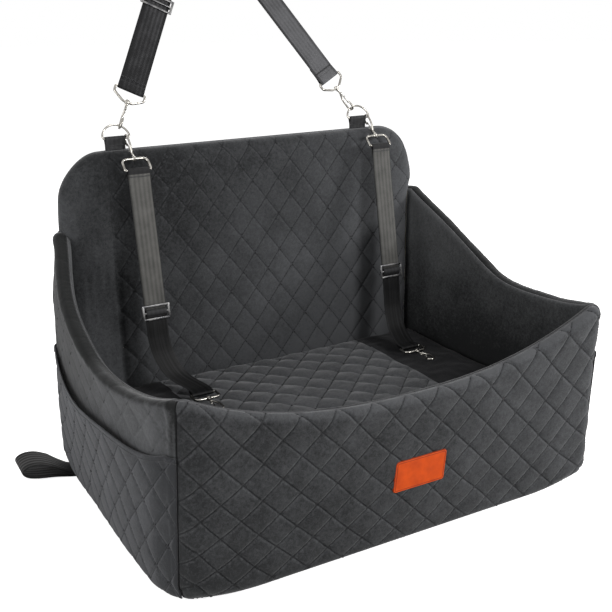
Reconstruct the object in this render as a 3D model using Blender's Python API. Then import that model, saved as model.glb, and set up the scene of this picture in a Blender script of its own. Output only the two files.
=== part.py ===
"""Dog car seat: a padded tub with a high backrest, a quilted seat cushion, two safety
tethers that end in snap hooks, and a strap that goes round the head restraint of a car seat.

Metres, +Z up. The origin is the middle of the underside. The low front faces -Y and the
backrest stands at +Y, so +X is on the right of someone who looks at the front.
"""
import bpy
import bmesh
from math import atan2, cos, hypot, pi, radians, sin, sqrt
from mathutils import Matrix, Vector

PART_NAME = "dog_car_seat"

# Overall size
BODY_WIDTH = 0.750
BODY_DEPTH = 0.529
BACKREST_HEIGHT = 0.545
CORNER_RADIUS = 0.026
BOTTOM_RADIUS = 0.036

# Fit between pieces that touch, and the smallest radius of a corner that has closed up
GAP = 0.0003
TIGHT_RADIUS = 0.0005
MERGE = 0.00001

# Walls: a quilted or plain cover outside, foam, and a lining inside
WALL = 0.024
QUILT = 0.0040
QUILT_DEPTH = 0.0018
COVER = 0.0022
LINING = 0.0016
FOAM_EASE = 0.0008
FOAM_TOP_SHARE = 0.8
FOAM_SLOPE_SHARE = 0.5
FOAM_ROWS = 4
SIDE_COVER_ROWS = 6
LINING_ROWS = 4
SIDE_BULGE = 0.012
SIDE_BULGE_HEIGHT = 0.300

# Height of the rim
FRONT_DIP_HEIGHT = 0.233
CORNER_RIM_HEIGHT = 0.301
SIDE_DIP_HEIGHT = 0.282
REAR_RIM_HEIGHT = 0.418
SIDE_BEND_Y = -0.020
SIDE_BEND_LENGTH = 0.040
SIDE_RISE_Y = -0.080
FRONT_RIM_POWER = 2.43

# Base inside the tub
BASE_COVER = 0.0020
BOARD = 0.006
BOARD_MARGIN = 0.001
BASE_FOAM_TOP = 0.0970
CUSHION_TOP = 0.142
CUSHION_EASE = 0.003
CUSHION_EDGE = 0.018
CUSHION_SEAM = 0.005
CUSHION_DRAW = 0.005
CUSHION_CROWN = 0.004
CUSHION_DEPTH = 0.0045
CUSHION_QUILTED_HALF = 0.205

# Backrest: the seam between its two faces, and how far each face stands out from it
SEAM_INSET = 0.014
SEAM_Y = BODY_DEPTH / 2 - SEAM_INSET
PAD_FRONT_LOW = 0.031
PAD_FRONT_HIGH = 0.022
PAD_EDGE_FRONT = 0.028
PAD_EDGE_BACK = 0.010
PAD_CORNER_RADIUS = 0.070
PAD_FOAM_INSET = 0.008
PAD_FOAM_EASE = 0.0022

# Side pockets
POCKET = 0.0026
POCKET_TOP_DIP = 0.190
POCKET_TOP_RISE = 0.034
POCKET_MOUTH = 0.0110
POCKET_RIM_POWER = 2.4
POCKET_START = radians(45)

# Blank patch on the front
PATCH_WIDTH = 0.090
PATCH_HEIGHT = 0.045
PATCH_THICKNESS = 0.0018
PATCH_CORNER = 0.005
PATCH_BEVEL = 0.0004
PATCH_X = 0.018
PATCH_Z = 0.109

# Quilting: half the diagonal of a diamond, along the wall and up it
QUILT_HALF_WIDTH = 0.029
QUILT_HALF_HEIGHT = 0.0275
BACKREST_HALF_WIDTH = 0.026
BACKREST_HALF_HEIGHT = 0.033
CUSHION_HALF = 0.0295

# Webbing
WEBBING_WIDTH = 0.038
STRAP_WIDTH = 0.046
ANCHOR_WIDTH = 0.050
WEBBING = 0.0014

# D-rings in their tabs
RING_INSET = 0.135
RING_BAR_RISE = 0.019
RING_WIRE = 0.0018
RING_BOW = 0.024
RING_CORNER = 0.005
TAB_WIDTH = 0.035
TAB_SHIFT = -0.003
TAB_HOLE = 0.0029
TAB_FOOT = 0.0040

# Snap hooks: lengths run from the swivel towards the tip of the hook
LOOP_HALF = 0.0225
STRAP_LOOP_HALF = 0.0265
LOOP_HEIGHT = 0.023
LOOP_CORNER = 0.003
LOOP_TOP_CORNER = 0.008
LOOP_CORNER_SHARE = 0.29
LOOP_WIRE = 0.0020
LOOP_APEX_HALF = 0.008
LOOP_SHOULDER = 0.012
BOSS_RADIUS = 0.0042
BOSS_HALF = 0.0025
STEM_RADIUS = 0.0018
STEM_HEAD_RADIUS = 0.0030
STEM_HEAD = 0.0016
SHOULDER_RADIUS = 0.0033
SHOULDER = 0.0020
HOOK_WIRE = 0.0014
HOOK_BEND = 0.0068
HOOK_LENGTH = 0.042
HOOK_SHANK = 0.012
HOOK_KNEE = 0.018
HOOK_KNEE_SIDE = 0.0026
HOOK_SPINE_START = 0.0275
HOOK_TIP_BACK = 0.0085
HOOK_TIP_IN = 0.0014
LUG_RADIUS = 0.0023
LUG_SIDE = 0.0019
LUG_BACK = 0.0135
LUG_HALF = 0.0018
GATE_WIRE = 0.0010
GATE_LENGTH = 0.0215
GATE_LEAN = 0.0008
KNOB_BACK = 0.008
KNOB_LENGTH = 0.0042
HOOK_SEAT = 0.0002
HOOK_TO_TAB = 0.0006

# Tethers: angles are measured from straight down, towards the front, and both places
# from the backrest's seam
TETHER_HOOK_ANGLE = radians(47)
SLIDER_AHEAD = 0.0905
SLIDER_Y = SEAM_Y - SLIDER_AHEAD
SLIDER_Z = 0.283
TETHER_FOOT_AHEAD = 0.1705
TETHER_FOOT_Y = SEAM_Y - TETHER_FOOT_AHEAD
TETHER_FOOT_RISE = 0.0115
TETHER_BEND_SHARES = ((0.10, 0.26), (0.23, 0.52), (0.46, 0.79), (0.76, 0.945))
LEFT_DRIFT = 0.044
RIGHT_DRIFT = -0.010
PLY_GAP = 0.0003
LOOP_TURN_STEPS = 6
PLY_MEET = 0.016
PLY_END_SHARE = 0.3
SLIDER_RUN_SHARE = 0.7

# Sliding adjusters
SLIDER_RAIL = 0.00375
SLIDER_HEIGHT = 0.025
SLIDER_SLOT_EASE = 0.00125
SLIDER_BAR = 0.0026
SLIDER_THICKNESS = 0.0018
SLIDER_CORNER = 0.003

# Head restraint strap: it leans back, and its legs lean in towards each other
STRAP_LEAN = radians(26.6)
STRAP_LEG_ANGLE = radians(28.2)
STRAP_ARCH_RADIUS = 0.050
STRAP_TWIST_START = 0.200
STRAP_SLIDER_PLACE = 0.178
STRAP_TAIL = 0.034

# Anchor loops at the lower rear of the sides
ANCHOR_MARGIN = 0.0015
ANCHOR_SWEEP = radians(20)
ANCHOR_LENGTH = 0.097
ANCHOR_HEIGHT = 0.029
ANCHOR_ROOT = 0.0200
FLOOR_CLEARANCE = 0.0004

HALF_WIDTH = BODY_WIDTH / 2
HALF_DEPTH = BODY_DEPTH / 2
RING_X = HALF_WIDTH - RING_INSET
ANCHOR_REACH = HALF_WIDTH + ANCHOR_LENGTH
ANCHOR_Y = HALF_DEPTH - CORNER_RADIUS - ANCHOR_WIDTH / 2 - ANCHOR_MARGIN
ROLL = WALL / 2
BOARD_TOP = BASE_COVER + GAP + BOARD
WALL_FLOOR = BOARD_TOP + GAP
PAD_HALF = HALF_WIDTH - CORNER_RADIUS - GAP
BAR_Z = BACKREST_HEIGHT + RING_BAR_RISE
HOOK_SEAT_LENGTH = HOOK_LENGTH + HOOK_BEND - HOOK_WIRE - RING_WIRE - HOOK_SEAT

FINISHES = {
    "quilted_velvet": ((0.046, 0.048, 0.051), 0.85, 0.0),
    "velvet": ((0.062, 0.064, 0.067), 0.80, 0.0),
    "lining_velvet": ((0.022, 0.023, 0.025), 0.90, 0.0),
    "foam": ((0.610, 0.600, 0.560), 0.95, 0.0),
    "board": ((0.025, 0.025, 0.026), 0.60, 0.0),
    "base_cloth": ((0.014, 0.014, 0.015), 0.90, 0.0),
    "webbing": ((0.036, 0.036, 0.035), 0.70, 0.0),
    "patch": ((0.708, 0.093, 0.014), 0.55, 0.0),
    "nickel": ((0.780, 0.770, 0.740), 0.22, 1.0),
}


def clear_scene():
    """Remove what the scene holds, so that the script can run again."""
    for thing in list(bpy.data.objects):
        bpy.data.objects.remove(thing, do_unlink=True)


def make_material(name, finish):
    """A Principled material with the finish's colour, roughness and metallic value."""
    color, roughness, metallic = FINISHES[finish]
    material = bpy.data.materials.new(name)
    material.use_nodes = True
    shader = material.node_tree.nodes["Principled BSDF"]
    shader.inputs["Base Color"].default_value = (*color, 1.0)
    shader.inputs["Roughness"].default_value = roughness
    shader.inputs["Metallic"].default_value = metallic
    return material


def add_object(name, data, finish, place=None, parent=None):
    """Put a mesh in the part's collection, with a material of its own."""
    thing = bpy.data.objects.new(name, data)
    PARTS.objects.link(thing)
    data.materials.clear()
    data.materials.append(make_material(name, finish))
    if place is not None:
        thing.matrix_world = place
    if parent is not None:
        thing.parent = parent
        thing.matrix_parent_inverse = parent.matrix_world.inverted()
    return thing


def add_cutter(name, data, place=None):
    """Put a helper solid in the cutters' collection, out of the render."""
    thing = bpy.data.objects.new(name, data)
    CUTTERS.objects.link(thing)
    thing.hide_render = True
    thing.display_type = "WIRE"
    if place is not None:
        thing.matrix_world = place
    return thing


def add_pivot(name, x, y, z):
    """An empty on a joint's axis, which carries the pieces that move with it."""
    pivot = bpy.data.objects.new(name, None)
    PARTS.objects.link(pivot)
    pivot.matrix_world = Matrix.Translation((x, y, z))
    return pivot


def frame(origin, x_axis, y_axis):
    """A placement with its x and y axes along two directions at right angles."""
    x_axis = Vector(x_axis).normalized()
    y_axis = Vector(y_axis).normalized()
    z_axis = x_axis.cross(y_axis)
    place = Matrix((x_axis, y_axis, z_axis)).transposed().to_4x4()
    place.translation = origin
    return place


def finish_mesh(mesh, name, smooth_angle=radians(35)):
    """Turn a bmesh into a mesh with outward faces and smooth shading on round parts."""
    bmesh.ops.recalc_face_normals(mesh, faces=mesh.faces[:])
    if mesh.calc_volume(signed=True) < 0:
        bmesh.ops.reverse_faces(mesh, faces=mesh.faces[:])
    data = bpy.data.meshes.new(name)
    mesh.to_mesh(data)
    mesh.free()
    data.shade_smooth()
    data.set_sharp_from_angle(angle=smooth_angle)
    return data


def sheet(name, columns, rows, front, back, diamonds=False):
    """A closed sheet: a grid laid on one surface and extruded onto another.

    front and back each give the place of column i, row j. With diamonds, each square is
    split from one even corner to the other, so that lines of stitches run both ways.
    """
    mesh = bmesh.new()
    bmesh.ops.create_grid(mesh, x_segments=columns, y_segments=rows, size=1)
    column_of = mesh.verts.layers.int.new("column")
    row_of = mesh.verts.layers.int.new("row")
    side_of = mesh.verts.layers.int.new("side")
    for vert in mesh.verts:
        vert[column_of] = round((vert.co.x + 1) / 2 * columns)
        vert[row_of] = round((vert.co.y + 1) / 2 * rows)
    for face in mesh.faces[:]:
        even = [v for v in face.verts if (v[column_of] + v[row_of]) % 2 == 0]
        if diamonds:
            bmesh.utils.face_split(face, even[0], even[1])
    result = bmesh.ops.extrude_face_region(mesh, geom=mesh.faces[:])
    for thing in result["geom"]:
        if isinstance(thing, bmesh.types.BMVert):
            thing[side_of] = 1
    for vert in mesh.verts:
        surface = back if vert[side_of] else front
        vert.co = surface(vert[column_of], vert[row_of])
    return finish_mesh(mesh, name)


def curve_mesh(name, points, radius, cyclic, resolution=1):
    """A wire along points, made a mesh with its end caps joined on."""
    curve = bpy.data.curves.new(name, "CURVE")
    curve.dimensions = "3D"
    curve.bevel_depth = radius
    curve.bevel_resolution = resolution
    curve.use_fill_caps = True
    spline = curve.splines.new("POLY")
    spline.points.add(len(points) - 1)
    for point, place in zip(spline.points, points):
        point.co = (*place, 1)
    spline.use_cyclic_u = cyclic
    return baked_curve(name, curve)


def baked_curve(name, curve):
    """The evaluated mesh of a curve, with its loose caps merged."""
    holder = bpy.data.objects.new(name, curve)
    PARTS.objects.link(holder)
    graph = bpy.context.evaluated_depsgraph_get()
    graph.update()
    data = bpy.data.meshes.new_from_object(holder.evaluated_get(graph))
    bpy.data.objects.remove(holder)
    mesh = bmesh.new()
    mesh.from_mesh(data)
    bmesh.ops.remove_doubles(mesh, verts=mesh.verts[:], dist=MERGE)
    return finish_mesh(mesh, name)


def outline_mesh(name, outlines, thickness, bevel=0):
    """A flat plate from closed outlines in its xy plane; inner outlines are holes."""
    curve = bpy.data.curves.new(name, "CURVE")
    curve.dimensions = "2D"
    curve.fill_mode = "BOTH"
    curve.extrude = thickness / 2 - bevel
    curve.bevel_depth = bevel
    curve.bevel_resolution = 0
    curve.offset = -bevel
    for outline in outlines:
        spline = curve.splines.new("POLY")
        spline.points.add(len(outline) - 1)
        for point, place in zip(spline.points, outline):
            point.co = (place[0], place[1], 0, 1)
        spline.use_cyclic_u = True
    return baked_curve(name, curve)


def rod_mesh(name, radius, start, end, segments=12):
    """A cylinder along the y axis, from one height to another."""
    mesh = bmesh.new()
    bmesh.ops.create_cone(mesh, cap_ends=True, segments=segments, radius1=radius,
                          radius2=radius, depth=end - start)
    turn = Matrix.Rotation(radians(90), 4, "X")
    shift = Matrix.Translation((0, (start + end) / 2, 0))
    bmesh.ops.transform(mesh, matrix=shift @ turn, verts=mesh.verts[:])
    return finish_mesh(mesh, name)


def boolean(thing, helper, operation):
    """Join a helper solid to a piece, or cut it away, with the exact solver."""
    modifier = thing.modifiers.new(helper.name, "BOOLEAN")
    modifier.operation = operation
    modifier.object = helper


def arc(center, radius, start, end, steps):
    """Points along an arc in a plane, angles from the first axis."""
    angles = [start + (end - start) * k / steps for k in range(steps + 1)]
    return [(center[0] + radius * cos(a), center[1] + radius * sin(a)) for a in angles]


def rounded_rectangle(half_width, half_height, radius, steps=3):
    """Outline of a rectangle with round corners."""
    points = []
    for quarter, (sx, sy) in enumerate(((1, 1), (-1, 1), (-1, -1), (1, -1))):
        center = (sx * (half_width - radius), sy * (half_height - radius))
        start = quarter * pi / 2
        points += arc(center, radius, start, start + pi / 2, steps)
    return points


def spread(start, end, count):
    """Evenly spaced values, ends included."""
    return [start + (end - start) * k / count for k in range(count + 1)]


def even_count(length, pitch):
    """The even number of steps nearest to a pitch, so that a lattice ends alike."""
    return max(2, 2 * round(length / pitch / 2))


# The plan of the tub. A place along a wall is a station: on a straight run it is a share
# of the run, and on a corner it is an angle from the front. Depth is measured inwards.

def corner_radius_at(depth):
    return max(CORNER_RADIUS - depth, TIGHT_RADIUS)


def straight_half(half, depth):
    """Half the straight run of a wall at a depth under its outer face."""
    return half - depth - corner_radius_at(depth)


def front_plan(station, depth):
    """Front wall: corner angles are negative on the left and positive on the right."""
    kind, value = station
    radius = corner_radius_at(depth)
    half = straight_half(HALF_WIDTH, depth)
    front = -HALF_DEPTH + depth
    if kind == "run":
        return half * value, front
    return (half + radius * sin(abs(value))) * (1 if value > 0 else -1), \
        front + radius * (1 - cos(value))


def side_plan(station, depth):
    """Left wall; the angle runs from 45 degrees at the front seam to 180 at the rear end."""
    kind, value = station
    radius = corner_radius_at(depth)
    half_x = straight_half(HALF_WIDTH, depth)
    half_y = straight_half(HALF_DEPTH, depth)
    if kind == "run":
        return -(HALF_WIDTH - depth), half_y * value
    rear = value > pi / 2
    y = half_y - radius * cos(value) if rear else -half_y - radius * cos(value)
    return -(half_x + radius * sin(value)), y


def front_rim(station):
    """Height of the front rim: it dips in the middle and peaks at the corners."""
    kind, value = station
    if kind == "corner":
        return CORNER_RIM_HEIGHT
    rise = CORNER_RIM_HEIGHT - FRONT_DIP_HEIGHT
    return FRONT_DIP_HEIGHT + rise * abs(value) ** FRONT_RIM_POWER


def rear_climb(y):
    """A ramp that bends up softly from the flat part of the side rim."""
    past = y - SIDE_BEND_Y
    return (hypot(past, SIDE_BEND_LENGTH) + past) / 2


def side_rim(station):
    """Height of the side rim: down from the corner, then up to the backrest."""
    kind, value = station
    end = straight_half(HALF_DEPTH, 0)
    if kind == "corner":
        return REAR_RIM_HEIGHT if value > pi / 2 else CORNER_RIM_HEIGHT
    y = end * value
    climb = (REAR_RIM_HEIGHT - SIDE_DIP_HEIGHT) * rear_climb(y) / rear_climb(end)
    height = SIDE_DIP_HEIGHT + climb
    if y < SIDE_RISE_Y:
        share = (SIDE_RISE_Y - y) / (SIDE_RISE_Y + end)
        first = (REAR_RIM_HEIGHT - SIDE_DIP_HEIGHT) * rear_climb(-end) / rear_climb(end)
        height += (CORNER_RIM_HEIGHT - SIDE_DIP_HEIGHT - first) * share ** 2
    return height


def side_bulge(station, z):
    """How far the soft side leans out, nothing at its ends and most in the middle."""
    kind, value = station
    if kind == "corner":
        return 0
    return SIDE_BULGE * (1 - value * value) * z / SIDE_BULGE_HEIGHT


def outer_row(row, rim, inset):
    """Depth and height of a row of a cover: round the bottom, up, and over the top."""
    kind, value = row
    if kind == "bottom":
        radius = BOTTOM_RADIUS - inset
        return BOTTOM_RADIUS - radius * sin(value), BOTTOM_RADIUS - radius * cos(value)
    if kind == "wall":
        return inset, BOTTOM_RADIUS + (rim - ROLL - BOTTOM_RADIUS) * value
    radius = ROLL - inset
    return ROLL - radius * cos(value), rim - ROLL + radius * sin(value)


def inner_row(row, rim, inset):
    """Depth and height of a row of a lining: from the crown down to the board."""
    kind, value = row
    if kind == "wall":
        return WALL - inset, WALL_FLOOR + (rim - ROLL - WALL_FLOOR) * value
    radius = ROLL - inset
    return ROLL + radius * cos(value), rim - ROLL + radius * sin(value)


CORNER_STEPS = 3
BOTTOM_ROWS = [("bottom", a) for a in spread(0, pi / 2, 4)[:-1]]
ROLL_ROWS = [("roll", a) for a in spread(0, pi / 2, 3)[1:]]


def front_stations(count):
    """Stations of the front wall from seam to seam."""
    left = [("corner", -a) for a in spread(pi / 4, 0, CORNER_STEPS)[:-1]]
    right = [("corner", -a) for _, a in reversed(left)]
    return left + [("run", v) for v in spread(-1, 1, count)] + right


def side_stations(count, end=pi):
    """Stations of a side wall, from the front seam round the rear corner."""
    front = [("corner", a) for a in spread(pi / 4, pi / 2, CORNER_STEPS)[:-1]]
    rear = [("corner", a) for a in spread(pi / 2, end, 4)[1:]]
    return front + [("run", v) for v in spread(-1, 1, count)] + rear


def wall_rows(count):
    """Rows of a cover, from under the tub to the crown of its rim."""
    return BOTTOM_ROWS + [("wall", v) for v in spread(0, 1, count)] + ROLL_ROWS


def lining_rows(count):
    """Rows of a lining, from the board up to the crown."""
    return [("wall", v) for v in spread(0, 1, count)] + ROLL_ROWS


def seam_shift(index, last):
    """Pulls the end of a wall back from the seam, by the gap between pieces."""
    return GAP if index == 0 else (-GAP if index == last else 0)


def front_place(station, index, last, depth, z):
    x, y = front_plan(station, depth)
    return Vector((x + seam_shift(index, last), y, z))


def side_place(side, station, index, depth, z):
    x, y = side_plan(station, depth)
    x -= side_bulge(station, z)
    if index == 0:
        y += GAP
    return Vector((-side * x, y, z))


def quilt_inset(index, j, rows):
    """Extra depth of a sewn crossing, faded out at the ends of the panel."""
    kind = rows[j][0]
    crossing = (index + j) % 2 == 0 and kind == "wall"
    return QUILT_DEPTH if crossing else 0


def make_front_wall():
    """Front cover with its quilting, the foam in it and its lining."""
    run = 2 * straight_half(HALF_WIDTH, 0)
    stations = front_stations(even_count(run, QUILT_HALF_WIDTH))
    middle_height = (FRONT_DIP_HEIGHT + CORNER_RIM_HEIGHT) / 2 - ROLL - BOTTOM_RADIUS
    rows = wall_rows(even_count(middle_height, QUILT_HALF_HEIGHT))
    last = len(stations) - 1

    def cover_face(inset, quilted):
        def place(i, j):
            extra = quilt_inset(i, j, rows) if quilted and 1 < i < last - 1 else 0
            depth, z = outer_row(rows[j], front_rim(stations[i]), inset + extra)
            if j == len(rows) - 1:
                depth -= GAP / 2
            return front_place(stations[i], i, last, depth, z)
        return place

    data = sheet("front_cover", last, len(rows) - 1, cover_face(0, True),
                 cover_face(QUILT, False), diamonds=True)
    add_object("front_cover", data, "quilted_velvet")

    make_foam("front_foam", front_stations(12), front_rim, QUILT,
              lambda s, i, n, d, z: front_place(s, i, n, d, z))

    lining_stations = front_stations(14)
    lining = lining_rows(LINING_ROWS)
    last_lining = len(lining_stations) - 1

    def lining_face(inset):
        def place(i, j):
            depth, z = inner_row(lining[j], front_rim(lining_stations[i]), inset)
            if j == len(lining) - 1:
                depth += GAP / 2
            return front_place(lining_stations[i], i, last_lining, depth, z)
        return place

    data = sheet("front_lining", last_lining, len(lining) - 1, lining_face(0),
                 lining_face(LINING))
    add_object("front_lining", data, "lining_velvet")


def make_foam(name, stations, rim, cover, place_at):
    """Foam of a wall: between cover and lining, cut flat just under the crown."""
    last = len(stations) - 1
    inner = LINING + FOAM_EASE
    outer = cover + FOAM_EASE
    heights = FOAM_ROWS + 2

    def row_height(station, j):
        ledge = rim(station) - ROLL
        top = ledge + (ROLL - outer) * FOAM_TOP_SHARE
        wall = spread(BOTTOM_RADIUS, ledge, FOAM_ROWS)
        levels = [WALL_FLOOR] + wall + [top]
        return levels[j]

    def outside(i, j):
        z = row_height(stations[i], j)
        depth = outer
        if j == 0:
            reach = BOTTOM_RADIUS - outer
            rise = BOTTOM_RADIUS - z
            depth = BOTTOM_RADIUS - sqrt(reach * reach - rise * rise)
        if j == heights:
            depth = ROLL - (ROLL - outer) * FOAM_SLOPE_SHARE
        return place_at(stations[i], i, last, depth, z)

    def inside(i, j):
        z = row_height(stations[i], j)
        depth = WALL - inner
        if j == heights:
            depth = ROLL + (ROLL - inner) * FOAM_SLOPE_SHARE
        return place_at(stations[i], i, last, depth, z)

    data = sheet(name, last, heights, outside, inside)
    add_object(name, data, "foam")


def make_side_wall(side, word):
    """One side: plain cover, foam, lining, and the quilted pocket outside it."""
    stations = side_stations(12)
    rows = wall_rows(SIDE_COVER_ROWS)
    last = len(stations) - 1

    def cover_face(inset):
        def place(i, j):
            depth, z = outer_row(rows[j], side_rim(stations[i]), inset)
            if j == len(rows) - 1:
                depth -= GAP / 2
            return side_place(side, stations[i], i, depth, z)
        return place

    name = word + "_side_cover"
    data = sheet(name, last, len(rows) - 1, cover_face(0), cover_face(COVER))
    add_object(name, data, "velvet")

    make_foam(word + "_side_foam", stations, side_rim, COVER,
              lambda s, i, n, d, z: side_place(side, s, i, d, z))

    lining = lining_rows(LINING_ROWS)

    def lining_face(inset):
        def place(i, j):
            depth, z = inner_row(lining[j], side_rim(stations[i]), inset)
            if j == len(lining) - 1:
                depth += GAP / 2
            return side_place(side, stations[i], i, depth, z)
        return place

    name = word + "_side_lining"
    data = sheet(name, last, len(lining) - 1, lining_face(0), lining_face(LINING))
    add_object(name, data, "lining_velvet")
    make_pocket(side, word)


def pocket_top(station):
    """Height of the pocket's mouth: it dips between the two ends."""
    kind, value = station
    share = 1 if kind == "corner" else abs(value) ** POCKET_RIM_POWER
    return POCKET_TOP_DIP + POCKET_TOP_RISE * share


def make_pocket(side, word):
    """Quilted pocket that covers the lower side; its mouth stands off in the middle."""
    run = 2 * straight_half(HALF_DEPTH, 0)
    stations = side_stations(even_count(run, QUILT_HALF_WIDTH), end=pi * 3 / 4)
    count = even_count(POCKET_TOP_DIP - BOTTOM_RADIUS, QUILT_HALF_HEIGHT)
    bottom = [("bottom", a) for a in spread(POCKET_START, pi / 2, 2)[:-1]]
    rows = bottom + [("wall", v) for v in spread(0, 1, count)]
    last = len(stations) - 1

    def face(thickness, quilted):
        def place(i, j):
            station = stations[i]
            kind, value = rows[j]
            stand_off = GAP
            if kind == "wall" and station[0] == "run":
                stand_off += POCKET_MOUTH * (1 - station[1] ** 2) * value ** 2
            crossing = quilted and (i + j) % 2 == 0 and kind == "wall"
            inset = -(stand_off + thickness) + (QUILT_DEPTH if crossing and value < 1 else 0)
            if kind == "bottom":
                radius = BOTTOM_RADIUS - inset
                depth = BOTTOM_RADIUS - radius * sin(value)
                z = BOTTOM_RADIUS - radius * cos(value)
            else:
                depth = inset
                z = BOTTOM_RADIUS + (pocket_top(station) - BOTTOM_RADIUS) * value
            return side_place(side, station, i, depth, z)
        return place

    name = word + "_side_pocket"
    data = sheet(name, last, len(rows) - 1, face(POCKET, True), face(0, False),
                 diamonds=True)
    add_object(name, data, "quilted_velvet")


# The backrest is two faces that meet at a seam round its edge. Each face stands out from
# the seam by an amount that depends on the distance to the edge.

def edge_profile(distance, reach):
    """Share of the full thickness at a distance from the edge."""
    share = min(max(distance, 0) / reach, 1)
    return sqrt(max(0, 1 - (1 - share) ** 2))


def pad_half_at(z, half, top):
    """Half the width of the backrest at a height, with its round upper corners."""
    corner = top - PAD_CORNER_RADIUS
    if z <= corner:
        return half
    rise = min(z - corner, PAD_CORNER_RADIUS)
    return half - PAD_CORNER_RADIUS + sqrt(PAD_CORNER_RADIUS ** 2 - rise ** 2)


def pad_edge_distance(x, z, half, top):
    """Distance from a point to the outline of the backrest, its bottom left out."""
    corner_x = half - PAD_CORNER_RADIUS
    corner_z = top - PAD_CORNER_RADIUS
    if abs(x) > corner_x and z > corner_z:
        return PAD_CORNER_RADIUS - hypot(abs(x) - corner_x, z - corner_z)
    return min(half - abs(x), top - z)


PAD_EDGE_SHARES = (0, 0.06, 0.24, 0.60, 1)
PAD_CORNER_ANGLES = (0, 28, 50, 66, 79, 90)


def pad_rows(count, first, top):
    """Heights of the rows of the backrest, close together in the round corners."""
    corner = top - PAD_CORNER_RADIUS
    low = spread(first, corner, count)
    return low[:-1] + [corner + PAD_CORNER_RADIUS * sin(radians(a)) for a in PAD_CORNER_ANGLES]


def pad_columns(count, reach):
    """Columns as an edge distance on each side, or a share of what lies between."""
    edge = [("edge", s * reach) for s in PAD_EDGE_SHARES]
    inner = [("run", v) for v in spread(-1, 1, count)[1:-1]]
    left = [(kind, -1, value) for kind, value in edge]
    right = [(kind, 1, value) for kind, value in reversed(edge)]
    return left + [(kind, 0, value) for kind, value in inner] + right


def pad_x(column, half, reach):
    kind, sign, value = column
    if kind == "edge":
        return sign * (half - value)
    return value * (half - reach)


def pad_front_y(x, z):
    """Front face of the backrest."""
    share = z / BACKREST_HEIGHT
    stand = PAD_FRONT_LOW + (PAD_FRONT_HIGH - PAD_FRONT_LOW) * share
    edge = QUILT + GAP / 2
    distance = pad_edge_distance(x, z, PAD_HALF, BACKREST_HEIGHT)
    return SEAM_Y - edge - (stand - edge) * edge_profile(distance, PAD_EDGE_FRONT)


def pad_back_y(x, z):
    """Rear face of the backrest, with the round bottom edge of the tub."""
    edge = COVER + GAP / 2
    stand = HALF_DEPTH - SEAM_Y
    distance = pad_edge_distance(x, z, PAD_HALF, BACKREST_HEIGHT)
    return SEAM_Y + edge + (stand - edge) * edge_profile(distance, PAD_EDGE_BACK)


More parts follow.
